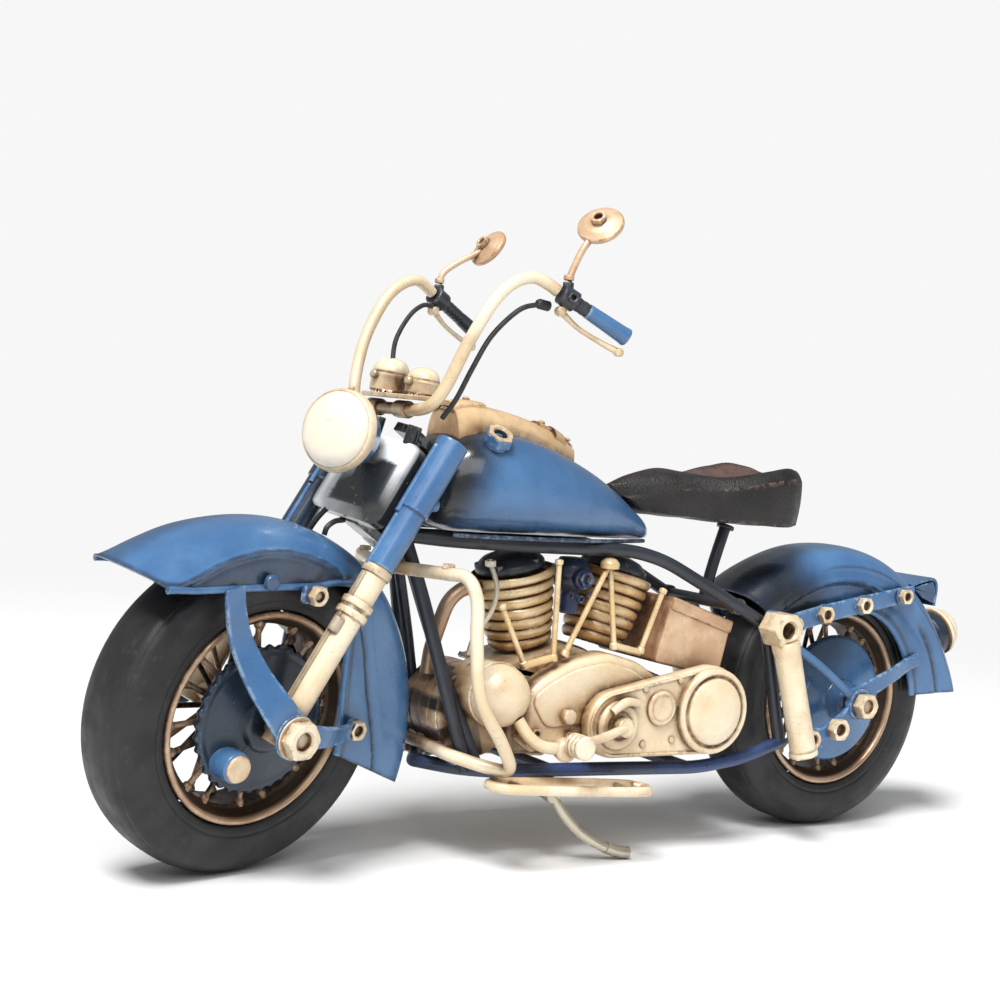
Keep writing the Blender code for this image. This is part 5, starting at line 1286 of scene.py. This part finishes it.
        at = FRONT_AXLE
        drum = Shell("fork")
        face = soften([(0, 9.8), (22.8, 9.8), (23.6, 10.4), (23.6, 11.8), (22.6, 12.6),
                (21.0, 12.5), (20.2, 12.8), (9.4, 15.5), (8.6, 17.2), (7.4, 17.6), (0, 17.7)], 0.4)
        grid = lathe(face, at, ALONG_Y, DRUM_STEPS)
        a = 2 * np.pi * np.arange(DRUM_STEPS) / DRUM_STEPS
        fluted = 0.55 * np.clip(np.cos(DRUM_FLUTES * a), -0.6, 1) * (face[:, 0] > 23.0)[:, None]
        out = grid - (at + np.array([0, 1.0, 0]) * (grid[..., 1:2] - at[1]))
        grid = grid + out / np.maximum(np.linalg.norm(out, axis=-1, keepdims=True),
                1e-6) * fluted[..., None]
        drum.add(grid, caps=False)
        drum.rod(at + np.array([3.0, 14.8, -4.0]), at + np.array([10.6, 13.6, -10.6]), 1.5, 16)
        drum.rod(at + np.array([-16.5, 12.6, 2.0]), at + np.array([-8.0, 15.4, 1.0]), 1.1, 16)
        make("front_brake_drum", drum, "navy", "fork", BLACK)
        cam = at + np.array([12.6, 12.0, -11.8])
        boss = Shell("fork").spun([(5.0, 0), (5.6, 0.6), (5.2, 2.0), (5.0, 7.8), (4.2, 8.4)], cam,
                ALONG_Y, 48, 0.4)
        make("drum_boss", boss, BLUE, "fork", BLACK, "front_drum")
        cap = Shell("fork").spun([(4.3, 7.6), (4.4, 8.8), (3.9, 9.2), (0, 9.35)], cam, ALONG_Y, 48, 0.3)
        make("drum_boss_cap", cap, CREAM, "fork", CREAM)
        axle = Shell("fork")
        for side in (1, -1):
            axle.rod(at, at + np.array([0, side * 32.6, 0]), 2.8, 24)
            axle.bolt(at + np.array([0, side * 30.4, 0]), (0, side, 0), 6.3, 4.2, 0.46)
            axle.spun([(6.9, 0), (6.9, 0.7)], at + np.array([0, side * 29.9, 0]), (0, side, 0), 48, 0.25)
        make("front_spindle", axle, CREAM, "fork", STEEL, "front_axle")
        return {"FINISHED"}


# ---- fenders ----

# angle, radius, from the axle; the flare is extra half width
FRONT_CROWN = (
    (44.0, 67.6), (50.0, 67.6), (60.0, 66.0), (76.0, 63.2), (106.0, 60.8), (124.0, 60.4), (153.0, 61.0),
    (181.0, 63.8), (204.0, 68.4),
)
FRONT_EDGE = (
    (44.0, 64.6), (50.0, 58.0), (60.0, 51.0), (75.0, 45.4), (90.0, 43.6), (105.0, 45.0), (116.0, 49.2),
    (122.0, 50.4), (130.0, 43.0), (145.0, 34.2), (160.0, 29.8), (180.0, 28.2), (204.0, 31.4),
)
FRONT_FLARE = ((44.0, 2.4), (54.0, 1.4), (66.0, 0.0), (204.0, 0.0))
FRONT_BEAD = ((46.0, 63.0), (51.0, 60.4), (64.0, 57.4), (80.6, 55.0), (96.5, 52.8), (111.7, 51.0),
        (118.0, 50.0))
FRONT_CREASE = ((124.0, 52.0), (132.0, 46.5), (150.0, 41.0), (168.0, 39.4), (186.0, 42.5), (204.0, 49.9))
REAR_CROWN = (
    (38.0, 67.4), (58.0, 62.8), (77.0, 61.0), (110.0, 60.4), (142.0, 62.4), (164.0, 66.6), (178.0, 71.4),
)
REAR_EDGE = (
    (38.0, 56.0), (48.0, 44.0), (60.0, 38.4), (80.0, 37.4), (120.0, 37.4), (160.0, 37.6), (178.0, 39.0),
)
REAR_BEAD = ((46.0, 50.8), (52.0, 49.8), (70.0, 47.9), (85.0, 46.9), (105.0, 45.8), (124.0, 45.0))
FLAT = ((0.0, 0.0), (360.0, 0.0))
GUARD_HALF, GUARD_GAUGE = 17.6, 1.1


def guard_rows(crown, edge, half, flare, angles, thin, side=26, arc=40):
    """(radius, y) of a fender's skin: straight up the side, then a superellipse quarter, mirrored."""
    top, low = (table(rows, angles)[:, None] for rows in (crown, edge))
    wide = half + table(flare, angles)[:, None] - thin
    shoulder = np.clip(top - low, 1.0, 13.0)
    t = np.linspace(0, 1, side)[None]
    a = (0.5 * np.pi * np.linspace(0, 1, arc)[1:])[None]
    r = np.concatenate([low + (top - shoulder - low) * t,
            top - shoulder + (shoulder - thin) * np.sin(a) ** 0.8], axis=1)
    y = np.concatenate([wide + 0 * t, wide * np.cos(a) ** 0.75], axis=1)
    r, y = np.concatenate([r, r[:, -2::-1]], 1), np.concatenate([y, -y[:, -2::-1]], 1)
    return r, y


def about(at, angles, r, y):
    """A sheet round a level axle: at + (r cos a, y, r sin a)."""
    a = np.radians(angles)[:, None]
    return np.asarray(at, float) + np.stack([r * np.cos(a), y, r * np.sin(a)], -1)


def guard(shell, at, crown, edge, half, flare, angles, relief, soot):
    """A fender: the outer skin raised along its normals by relief, the inner skin a sheet inside it."""
    r, y = guard_rows(crown, edge, half, flare, angles, 0.0)
    outer = about(at, angles, r, y)
    facing = normals_of(outer)
    middle = facing[len(angles) // 2, r.shape[1] // 2]
    up = outer[len(angles) // 2, r.shape[1] // 2] - at
    facing = facing if middle @ up > 0 else -facing
    spread = np.broadcast_to(np.asarray(angles)[:, None], r.shape)
    outer = outer + facing * (relief(spread, r, y) + 0.10 * rolling(outer, 12.0, 3))[..., None]
    ri, yi = guard_rows(crown, edge, half, flare, angles, GUARD_GAUGE)
    inner = about(at, angles, ri, yi)
    line = near(r, table(edge, spread) + 2.2, 0.7) * 0.75
    shade = np.maximum(soot(spread, r, y), line)
    shell.add(np.concatenate([outer, inner[:, ::-1]], axis=1), caps=False,
            soot=np.concatenate([shade, np.full(shade.shape, 0.9)], axis=1))
    for end in (0, -1):
        shell.add(np.stack([outer[end], inner[end]]), wrap_v=False, caps=False, soot=0.3)
    lip = table(edge, angles)
    wide = half + table(flare, angles) - 0.45
    for side in (1, -1):
        path = about(at, angles, lip[:, None], side * wide[:, None])[:, 0]
        shell.add(carried(path, ring(1.15, 12), up=ALONG_Y))


def near(value, middle, width):
    """A bell curve: e to minus the square of the distance from the middle over the width."""
    return np.exp(-(((value - middle) / width) ** 2))


class TINBIKE_OT_front_guard(bpy.types.Operator):
    """Press the front fender and cut its stays"""

    bl_idname = "tin_motorcycle.front_guard"
    bl_label = "Front fender"
    bl_options = {"REGISTER", "UNDO"}

    def execute(self, context):
        angles = np.linspace(44.0, 204.0, 210)

        def relief(angle, r, y):
            """A bell curve along the bead, a panel set in under it, a crease and a swell."""
            bead = table(FRONT_BEAD, angle)
            on = step(angle, 45, 50) * (1 - step(angle, 112, 117))
            panel = -0.55 * step(bead - r, 0.2, 1.2) * on
            crease = -0.7 * near(r, table(FRONT_CREASE, angle), 0.8) * step(angle, 128, 136)
            roll = 0.5 * step(r - table(FRONT_CREASE, angle), 0.3, 4.0) * step(angle, 128,
                    140) * (np.abs(y) > 9)
            return on * 0.95 * near(r, bead + 0.6, 0.85) + panel + crease + roll

        def soot(angle, r, y):
            """The darkest of the panel, the lines, a cloud behind the leg, and painted shade on the far side.
            """
            bead = table(FRONT_BEAD, angle)
            on = step(angle, 44, 52) * (1 - step(angle, 114, 118))
            panel = 0.72 * step(bead - r, 0.1, 1.0) * on
            line = 0.5 * near(r, bead - 0.6, 0.7) * on
            crease = 0.85 * near(r, table(FRONT_CREASE, angle) - 0.4, 0.9) * step(angle, 128, 136)
            behind = 0.75 * near(angle, 119, 9) * step(r, 50, 57)
            # Painted shade: the front part of the far side darker.
            top = 0.42 * step(-y, -2.0, 8.0) * (1 - step(angle, 90, 120))
            return np.maximum.reduce([panel, line, crease, behind, top])

        skin = Shell("fork")
        guard(skin, FRONT_AXLE, FRONT_CROWN, FRONT_EDGE, GUARD_HALF, FRONT_FLARE, angles, relief, soot)
        for side in (1, -1):
            skin.spun([(2.6, 0), (2.6, 1.4), (1.6, 2.2)], mirrored((134.8, 17.0, 98.4), side),
                    (0, side, 0), 32, 0.5, soot=0.5)
            skin.add(slab(soften([(113.5, 91.5), (122.6, 91.5), (122.6, 97.0), (113.5, 97.0)], 1.5,
                    5, True), *sorted((side * 17.2, side * 19.0)), 0.3), soot=0.4)
        make("front_guard_skin", skin, BLUE, "fork", BLUE, "front_fender")
        for name, side in SIDES:
            arm = [(149.0, 18.9, 97.4), (147.6, 19.1, 90.0), (144.4, 19.8, 80.6),
                    (139.0, 23.4, 70.0), (132.6, 27.8, 60.6), (126.5, 29.0, 53.0)]
            back = [(125.5, 29.0, 52.6), (114.0, 29.0, 51.4), (104.0, 25.2, 50.2), (94.4, 20.0, 49.2)]
            stay = Shell("fork").add(ribbon(mirrored(arm, side), (6.6, 7.0, 7.8, 9.2, 11.0, 11.5), 1.5))
            stay.add(ribbon(mirrored(back, side), (9.0, 6.6, 5.6, 5.4), 1.5))
            stay.spun([(6.6, -0.75), (7.2, -0.4), (7.2, 0.4), (6.6, 0.75)],
                    mirrored(FRONT_AXLE + np.array([0, 29.0, 0]), side), (0, side, 0), 56, 0.2)
            stay.spun([(3.5, 0), (3.5, 0.8)], mirrored((94.8, 19.4, 49.4), side), (0, side, 0), 40, 0.2)
            make(f"front_brace_{name}", stay, BLUE, "fork", BLUE, f"front_stay_{name}")
            nuts = Shell("fork").bolt(mirrored((94.8, 20.4, 49.4), side), (0, side, 0), 3.4, 2.8)
            nuts.bolt(mirrored((118.0, 18.8, 94.2), side), (0, side, 0), 3.3, 2.8)
            nuts.rod(mirrored((118.0, 17.0, 94.2), side), mirrored((118.0, 20.4, 94.2), side), 1.6)
            make(f"front_brace_nuts_{name}", nuts, CREAM, "fork", CREAM)
        return {"FINISHED"}


class TINBIKE_OT_rear_end(bpy.types.Operator):
    """Press the rear fender and fit its straps, arms, shocks, axle and lamp"""

    bl_idname = "tin_motorcycle.rear_end"
    bl_label = "Rear end"
    bl_options = {"REGISTER", "UNDO"}

    def execute(self, context):
        angles = np.linspace(38.0, 178.0, 190)

        def relief(angle, r, y):
            """Bell curves for the bead and the ridge, less those for the dip and the groove."""
            bead = table(REAR_BEAD, angle)
            on = step(angle, 44, 50) * (1 - step(angle, 118, 126))
            top = table(REAR_CROWN, angle)
            ridge = 0.55 * near(r, top - 7.5, 1.1) * step(angle, 66, 84) * (np.abs(y) > 8)
            dip = -0.5 * near(r, top - 15.0, 3.0) * step(angle, 84, 120)
            tail = -0.75 * near(r, 50.5 + 0.12 * (angle - 150), 0.9) * step(angle, 140, 148)
            panel = -0.6 * step(bead - r, 0.2, 1.2) * on
            return on * 1.0 * near(r, bead + 0.6, 0.8) + panel + ridge + dip + tail

        def soot(angle, r, y):
            """The darkest of the front end, the lines at the bead and tail, painted shade on the far side,
            and the crown.
            """
            bead = table(REAR_BEAD, angle)
            on = step(angle, 44, 50) * (1 - step(angle, 118, 126))
            ahead = 0.95 * (1 - step(angle + 0.4 * (r - 52), 54, 80))
            line = 0.6 * near(r, bead - 0.6, 0.7) * on
            tail = 0.8 * near(r, 50.5 + 0.12 * (angle - 150), 0.9) * step(angle, 140, 148)
            # Painted shade: the far side darker.
            far = 0.5 * step(-y, 2.0, 12.0)
            crown = 0.45 * near(r, table(REAR_CROWN, angle), 1.6) * (1 - step(angle, 100, 130))
            return np.maximum.reduce([ahead, line, tail, far, crown])

        skin = Shell()
        guard(skin, REAR_AXLE, REAR_CROWN, REAR_EDGE, GUARD_HALF, FLAT, angles, relief, soot)
        tab = curve([(-165.0, 0, 97.4), (-171.0, 0, 99.4), (-177.6, 0, 100.4), (-180.2, 0, 97.4),
                (-179.6, 0, 89.4)], 8)
        skin.add(carried(tab, plank(1.3, 24.0, 0.5), up=ALONG_Y), soot=0.25)
        for y in (-11.4, 11.4):
            gusset = soften([(-166.0, 96.6), (-177.6, 99.6), (-179.4, 96.0), (-178.8, 90.4),
                    (-174.0, 92.0)], 1.0, 4, True)
            skin.add(slab(gusset, y - 0.5, y + 0.5, 0.2, 3), soot=0.5)
        make("rear_guard_skin", skin, BLUE, "chassis", BLUE, "rear_fender")

        out = np.array([-math.cos(math.radians(20)), 0, math.sin(math.radians(20))])
        at = REAR_AXLE + out * 68.2
        base = Shell().spun([(8.6, -1.4), (9.4, 0.0), (9.4, 3.6), (8.8, 4.4)], at, out, 64, 0.4)
        make("tail_lamp_base", base, "navy", "chassis", BLACK)
        t = np.linspace(0, np.pi / 2, 20)
        dome = np.stack([9.0 * np.cos(t) ** 0.7, 7.0 + 6.2 * np.sin(t)], -1)
        lamp = [(0, 4.0), (9.0, 4.2), (10.2, 4.6), (10.4, 5.8), (9.8, 6.8), *dome.tolist()]
        tail = Shell().add(lathe(lamp, at, out, 72), caps=False)
        make("tail_lamp_dome", tail, CREAM, "chassis", CREAM, "tail_lamp")

        axle = Shell().rod(REAR_AXLE - np.array([0, 30.6, 0]), REAR_AXLE + np.array([0, 30.6, 0]), 2.8, 24)
        for side in (1, -1):
            axle.bolt(REAR_AXLE + np.array([0, side * 28.0, 0]), (0, side, 0), 5.1, 4.2)
        make("rear_spindle", axle, CREAM, "chassis", STEEL, "rear_axle")
        for name, side in SIDES:
            path = [(-88.5, 20.6, 82.0), (-107, 20.6, 86.4), (-128, 20.4, 90.4), (-150, 19.8, 94.2),
                    (-158, 19.4, 95.8)]
            strap = Shell().add(ribbon(mirrored(path, side), (7.2, 7.0, 6.8, 6.4, 5.2), 1.4))
            nuts = Shell()
            for x, z, r in ((-92.0, 82.8, 2.9), (-107.3, 86.6, 3.5), (-127.9, 90.4, 3.5),
                    (-150.3, 94.2, 3.2)):
                nuts.bolt(mirrored((x, 21.1, z), side), (0, side, 0), r, 3.2)
                strap.spun([(r + 0.5, 0), (r + 0.5, 0.5)], mirrored((x, 21.0, z), side),
                        (0, side, 0), 32, 0.15)
                strap.rod(mirrored((x, 17.6, z), side), mirrored((x, 21.4, z), side), 1.8)
            arm = Shell().spun([(6.2, 0), (6.2, 3.2)], mirrored((REAR_AXLE[0], 24.6, REAR_AXLE[2]),
                    side), (0, side, 0), 48, 0.4)
            lower = [(-126, 26.2, 53), (-118, 26.2, 46), (-108, 26.2, 41.4), (-98.6, 26.2, 39.2)]
            arm.add(ribbon(mirrored(lower, side), (6.4, 5.8, 5.4, 5.6), 1.8))
            arm.add(tube(mirrored([(-88.6, 23.4, 76.0), (-104, 25.6, 67.0), (-122, 26.0, 55.0)],
                    side), 1.75, 8))
            upper = [(-122, 26.0, 54.4), (-136, 25.4, 59.8), (-148, 22.6, 63.2), (-158, 19.4, 66.2),
                    (-165, 18.8, 68.4)]
            arm.add(ribbon(mirrored(upper, side), (7.4, 6.4, 5.6, 5.4, 5.0), 1.5))
            make(f"guard_strap_{name}", strap, BLUE, "chassis", BLUE, f"rear_strap_{name}")
            make(f"rear_link_{name}", arm, BLUE, "chassis", BLUE, f"rear_arm_{name}")
            nuts.bolt(mirrored((-99.6, 27.0, 39.4), side), (0, side, 0), 3.9, 3.6)
            nuts.bolt(mirrored((-113.5, 27.0, 43.0), side), (0, side, 0), 4.5, 3.8)
            if side < 0:
                nuts.bolt(mirrored((-127.5, 28.2, 52.6), side), (0, side, 0), 4.3, 3.6)
            make(f"rear_nuts_{name}", nuts, CREAM, "chassis", CREAM)
            shock = Shell()
            way = unit((11.6, -2.4, 41.0))
            body = [(4.9, 0), (5.5, 0.3), (5.5, 1.6), (5.0, 2.4), (4.9, 24.0), (5.05, 39.0),
                    (5.5, 42.0), (5.5, 44.4), (4.8, 44.8)]
            grid = lathe(soften([(0, 0), *body, (0, 44.8)], 0.4), (-91.8, 33.4, 34.6), way, 64)
            grid = grid * np.array([1, side, 1.0])
            shock.add(grid + normals_of(grid) * 0.12 * rolling(grid, 3.5, 8)[..., None], caps=False)
            eye = mirrored((-78.2, 24.6, 81.8), side)
            shock.bolt(eye, (0, side, 0), 7.0, 10.0, 0.44)
            make(f"shock_body_{name}", shock, CREAM, "chassis", CREAM, f"shock_{name}")
        return {"FINISHED"}


# ---- handlebar ----

GRIP_START = np.array([42.4, 38.4, 193.6])
GRIP_END = np.array([17.8, 44.6, 181.4])
GRIP_RINGS, GRIP_PITCH = 9, 0.9


class TINBIKE_OT_bars(bpy.types.Operator):
    """Bend the handlebar and fit its grips, levers, mirrors, gauges and cables"""

    bl_idname = "tin_motorcycle.bars"
    bl_label = "Handlebar"
    bl_options = {"REGISTER", "UNDO"}

    def execute(self, context):
        half = [(78.6, 0, 151.0), (78.8, 16, 151.2), (78.0, 24.6, 153.4), (76.0, 29.4, 160.0),
                (71.6, 33.0, 174.0), (64.6, 34.6, 187.6), (58.0, 35.2, 194.4), (51.4, 36.0, 197.0),
                (46.6, 37.2, 195.8), (42.6, 38.3, 193.7)]
        path = [*mirrored(half[:0:-1]).tolist(), *half]
        bar = Shell("bars").add(tube(path, 2.05, 8, sides=28))
        for y in (-9.0, 9.0):
            bar.spun([(2.9, 0), (2.9, 7.0)], (78.8, y - 3.5, 151.05), ALONG_Y, 40, 0.4)
        make("riser_bar", bar, CREAM, "fork", CREAM, "handlebar")
        dials = Shell("bars")
        plinth = soften([(68.6, 154.4), (83.4, 154.4), (83.4, 156.0), (68.6, 156.0)], 0.4, 4, True)
        dials.add(slab(plinth, -11.4, 17.4, 0.25, 4))
        for at, radius, high, seed in (((77.0, -5.0, 155.6), 6.4, 12.0, 3),
                ((74.0, 11.0, 155.6), 5.6, 9.4, 6)):
            t = np.linspace(0, np.pi / 2, 18)
            dome = np.stack([radius * np.cos(t) ** 0.75, high * (0.55 + 0.45 * np.sin(t))], -1)
            can = [(0, -0.4), (radius * 0.92, 0), (radius, 1.0), (radius, high * 0.42),
                    (radius * 1.05, high * 0.46), (radius * 1.05, high * 0.54), *dome.tolist()]
            grid = lathe(can, at, (-0.1, 0, 1), 56)
            dials.add(grid + normals_of(grid) * 0.2 * rolling(grid, 1.8, seed)[..., None], caps=False)
            dials.spun([(1.5, 0), (1.5, 1.4), (0.8, 1.9)], np.array(at) + np.array([radius * 0.9,
                    1.0, high * 0.5]), (1, 0.2, 0.3), 20, 0.3, soot=0.4)
        make("dial_cans", dials, CREAM, "fork", CREAM, "gauge_pair")

        along = unit(GRIP_END - GRIP_START)
        reach = float(np.linalg.norm(GRIP_END - GRIP_START))
        drop = unit(np.cross(along, (0, 0, -1)))
        below = unit(np.cross(drop, along))
        below = -below if below[2] > 0 else below
        lug_at = GRIP_START + along * 4.0
        stalk_at = GRIP_START + along * 3.6
        pivot = lug_at + below * 5.1
        for name, side, body in (("left", 1, "_l"), ("right", -1, "_r")):
            def here(points):
                """The points on this side of the bar."""
                return mirrored(points, side)

            grip = Shell("bars")
            sleeve = [(3.0, 0.9), (3.5, 1.2), (3.5, 6.8), (2.5, 7.4), (2.3, 9.0)]
            sleeve += [(2.3 + 0.14 * (k % 2), 9.5 + GRIP_PITCH * k) for k in range(GRIP_RINGS)]
            sleeve += [(2.5, 18.6), (2.8, reach - 1.0), (2.4, reach + 0.2)]
            grip.add(here(lathe(soften([(0, 0.9), *sleeve, (0, reach + 0.3)], 0.25), GRIP_START,
                    along, 40)), caps=False)
            grip.rod(here(lug_at), here(lug_at + below * 3.4), 1.9)
            grip.add(here(nut(lug_at - drop * 3.6, -drop, 1.8, 1.4)), wrap_u=True, caps=False)
            grip.rod(here(stalk_at), here(stalk_at + np.array([0, 0, 4.9])), 1.8)
            make(f"grip_sleeve_{name}", grip, BLACK, "fork", BLACK, f"grip_{name}")
            if side > 0:
                flare = [(0, 11.8), (2.5, 11.9), (2.9, reach - 2.0), (3.1, reach + 0.1),
                        (2.8, reach + 0.5), (0, reach + 0.6)]
                end = Shell("bars").add(lathe(soften(flare, 0.3), GRIP_START, along, 40), caps=False)
                make("grip_end_left", end, BLUE, "fork", BLUE)

            blade = [pivot, pivot + along * 8.0 + below * 1.4, pivot + along * 17.0 + below * 1.2,
                    pivot + along * 24.5 + below * 0.5]
            lever = Shell("bars").rod(here(pivot - drop * 1.6), here(pivot + drop * 1.6), 1.7)
            route = curve(blade, 10)
            taper = 1.25 - 0.4 * np.sin(np.pi * np.linspace(0, 1, len(route)) ** 0.8)
            lever.add(here(carried(route, ring(taper, 16))))
            lever.rod(here(blade[-1] - drop * 1.4), here(blade[-1] + drop * 1.4), 1.45)
            make(f"lever_blade_{name}", lever, CREAM, f"lever{body}", STEEL, f"lever_{name}")

            base = stalk_at + np.array([0, 0, 5.4])
            facing = unit((0.67, 0.42, 0.61) if side > 0 else (0.84, -0.02, 0.54))
            far = np.array((-9.6, 1.2, 19.8) if side > 0 else (-17.4, -2.6, 15.6))
            elbow = np.array((-4.0, 0.6, 10.4) if side > 0 else (-7.0, -0.8, 8.6))
            stalk = [base, base + np.array([-1.4, 0.0, 4.0]), base + elbow, base + far * 0.86]
            disc_at = base + far - facing * 0.8
            mirror = Shell("bars").add(here(tube([*stalk, disc_at + facing * 1.6], 1.15, 8)))
            mirror.rod(here(base), here(base + np.array([0, 0, 1.8])), 1.7)
            pan = [(0, -1.3), (6.4, -1.2), (6.9, -1.5), (7.6, -1.2), (7.9, -0.4), (7.7, 0.5),
                    (6.8, 0.9), (5.2, 1.7), (2.6, 2.2), (0, 2.3)]
            mirror.add(here(lathe(soften(pan, 0.3), disc_at, facing, 64)), caps=False)
            mirror.add(here(nut(disc_at + facing * 1.9, facing, 2.6, 2.3)), wrap_u=True, caps=False)
            make(f"mirror_round_{name}", mirror, "copper", f"mirror{body}", CREAM, f"mirror_{name}")

        cable = [(43.6, 35.6, 188.6), (48.0, 35.4, 188.6), (55.0, 35.0, 186.0), (63.4, 33.6, 177.0),
                (69.0, 32.6, 166.0), (72.0, 29.6, 156.0), (73.6, 24.8, 149.4)]
        left = Shell("bars").add(tube(cable, 0.85, 8, sides=14))
        left.spun([(1.7, 0), (1.7, 4.0), (1.1, 5.0)], cable[0], (1, 0, 0.1), 20, 0.3)
        make("cable_run_left", left, "hose", "fork", BLACK, "cable_left")
        cable = [(43.6, -35.6, 188.6), (48.0, -35.2, 188.4), (54.0, -33.6, 184.0),
                (61.6, -28.6, 175.0), (66.6, -21.0, 166.0), (68.8, -15.0, 158.4)]
        right = Shell("bars").add(tube(cable, 0.85, 8, sides=14))
        make("cable_run_right", right, "hose", "fork", BLACK, "cable_right")
        return {"FINISHED"}


# ---- stage ----

FLOOR_REACH = 40.0
FADE_START, FADE_END = 0.25, 0.85
BACKDROP = (0.93, 0.93, 0.93, 1.0)
CAMERA_AT = (0.34594, 0.46648, 0.146)
CAMERA_LOOKS = (-0.5459, -0.8368, -0.0421)
CAMERA_ROLL, CAMERA_LENS, SENSOR = 0.084, 57.54, 36.0
# name, kind, strength, place, angle or width
LIGHTS = (
    ("key", "SUN", 3.5, (0.42, 0.3, 0.9), 0.35),
    ("window", "AREA", 3.2, (0.35, 0.75, 0.75), 0.6),
)


class TINBIKE_OT_stage(bpy.types.Operator):
    """Lay the pale floor and set the lights and the camera"""

    bl_idname = "tin_motorcycle.stage"
    bl_label = "Stage"
    bl_options = {"REGISTER", "UNDO"}

    def execute(self, context):
        scene = context.scene
        r = Recipe("pale floor")
        colour = r.mix(r.ramp(r.noise(1.5, 3.0), 0.3, 0.7), (0.8, 0.8, 0.8), (0.82, 0.82, 0.82))
        away = r.node("ShaderNodeVectorMath", operation="LENGTH")
        r.feed(away.inputs[0], r.place)
        fade = r.ramp(away.outputs["Value"], FADE_START, FADE_END)
        r.feed(r.shader.inputs["Base Color"], r.mix(fade, colour, (0.0, 0.0, 0.0)))
        r.feed(r.shader.inputs["Roughness"], r.ramp(r.noise(3.0), 0.3, 0.7, 0.85, 1.0))
        r.shader.inputs["Specular IOR Level"].default_value = 0.0
        r.shader.inputs["Emission Color"].default_value = BACKDROP
        r.feed(r.shader.inputs["Emission Strength"], fade)
        mesh = bpy.data.meshes.new("floor")
        corners = [(x * FLOOR_REACH, y * FLOOR_REACH, 0) for x, y in ((-1, -1), (1, -1), (1, 1), (-1, 1))]
        mesh.from_pydata(corners, [], [(0, 1, 2, 3)])
        mesh.materials.append(r.material)
        floor = bpy.data.objects.new("floor", mesh)
        scene.collection.objects.link(floor)

        world = bpy.data.worlds.new("studio")
        world.use_nodes = True
        tree = world.node_tree
        tree.nodes["Background"].inputs["Color"].default_value = (0.97, 0.985, 1.0, 1.0)
        tree.nodes["Background"].inputs["Strength"].default_value = 0.3
        seen = tree.nodes.new("ShaderNodeBackground")
        seen.inputs["Color"].default_value = BACKDROP
        path, mix = tree.nodes.new("ShaderNodeLightPath"), tree.nodes.new("ShaderNodeMixShader")
        tree.links.new(path.outputs["Is Camera Ray"], mix.inputs[0])
        tree.links.new(tree.nodes["Background"].outputs[0], mix.inputs[1])
        tree.links.new(seen.outputs[0], mix.inputs[2])
        tree.links.new(mix.outputs[0], tree.nodes["World Output"].inputs[0])
        scene.world = world
        for name, kind, energy, place, size in LIGHTS:
            light = bpy.data.lights.new(name, kind)
            light.energy = energy
            if kind == "SUN":
                light.angle = size
            else:
                light.size = size
            lamp = bpy.data.objects.new(name, light)
            lamp.matrix_world = Matrix(np.stack(square_to(place), 1).tolist()).to_4x4()
            lamp.location = place
            scene.collection.objects.link(lamp)

        camera = bpy.data.cameras.new("camera")
        camera.lens, camera.sensor_width = CAMERA_LENS, SENSOR
        camera.clip_start = 0.01
        seen_from = bpy.data.objects.new("camera", camera)
        scene.collection.objects.link(seen_from)
        forward = unit(CAMERA_LOOKS)
        right = unit(np.cross(forward, (0, 0, 1)))
        above = np.cross(right, forward)
        c, s = math.cos(CAMERA_ROLL), math.sin(CAMERA_ROLL)
        across, upward = c * right + s * above, c * above - s * right
        matrix = Matrix(np.stack([across, upward, -forward], 1).tolist()).to_4x4()
        matrix.translation = CAMERA_AT
        seen_from.matrix_world = matrix
        scene.camera = seen_from
        scene.view_settings.view_transform = "Standard"
        return {"FINISHED"}


STEPS = (
    TINBIKE_OT_finishes, TINBIKE_OT_frame, TINBIKE_OT_rails, TINBIKE_OT_tank, TINBIKE_OT_saddle,
    TINBIKE_OT_engine,
    TINBIKE_OT_wheels, TINBIKE_OT_fork, TINBIKE_OT_front_guard, TINBIKE_OT_rear_end, TINBIKE_OT_bars,
    TINBIKE_OT_stage,
)


class TINBIKE_PT_steps(bpy.types.Panel):
    """The building steps and their settings"""

    bl_idname = "TINBIKE_PT_steps"
    bl_label = "Tin motorcycle"
    bl_space_type = "VIEW_3D"
    bl_region_type = "UI"
    bl_category = "Tin motorcycle"

    def draw(self, context):
        for settings in (context.scene.tin_paints, context.scene.tin_sizes):
            for key in settings.__annotations__:
                self.layout.prop(settings, key)
        for made in STEPS:
            self.layout.operator(made.bl_idname)


CLASSES = (TinPaints, TinSizes, *STEPS, TINBIKE_PT_steps)


def register():
    for made in CLASSES:
        bpy.utils.register_class(made)
    bpy.types.Scene.tin_paints = PointerProperty(type=TinPaints)
    bpy.types.Scene.tin_sizes = PointerProperty(type=TinSizes)


def unregister():
    del bpy.types.Scene.tin_sizes
    del bpy.types.Scene.tin_paints
    for made in reversed(CLASSES):
        bpy.utils.unregister_class(made)


def main():
    register()
    for item in list(bpy.data.objects):
        if item.name in ("Cube", "Light", "Camera"):
            bpy.data.objects.remove(item)
    for made in STEPS:
        group, name = made.bl_idname.split(".")
        getattr(getattr(bpy.ops, group), name)()


if __name__ == "__main__":
    main()
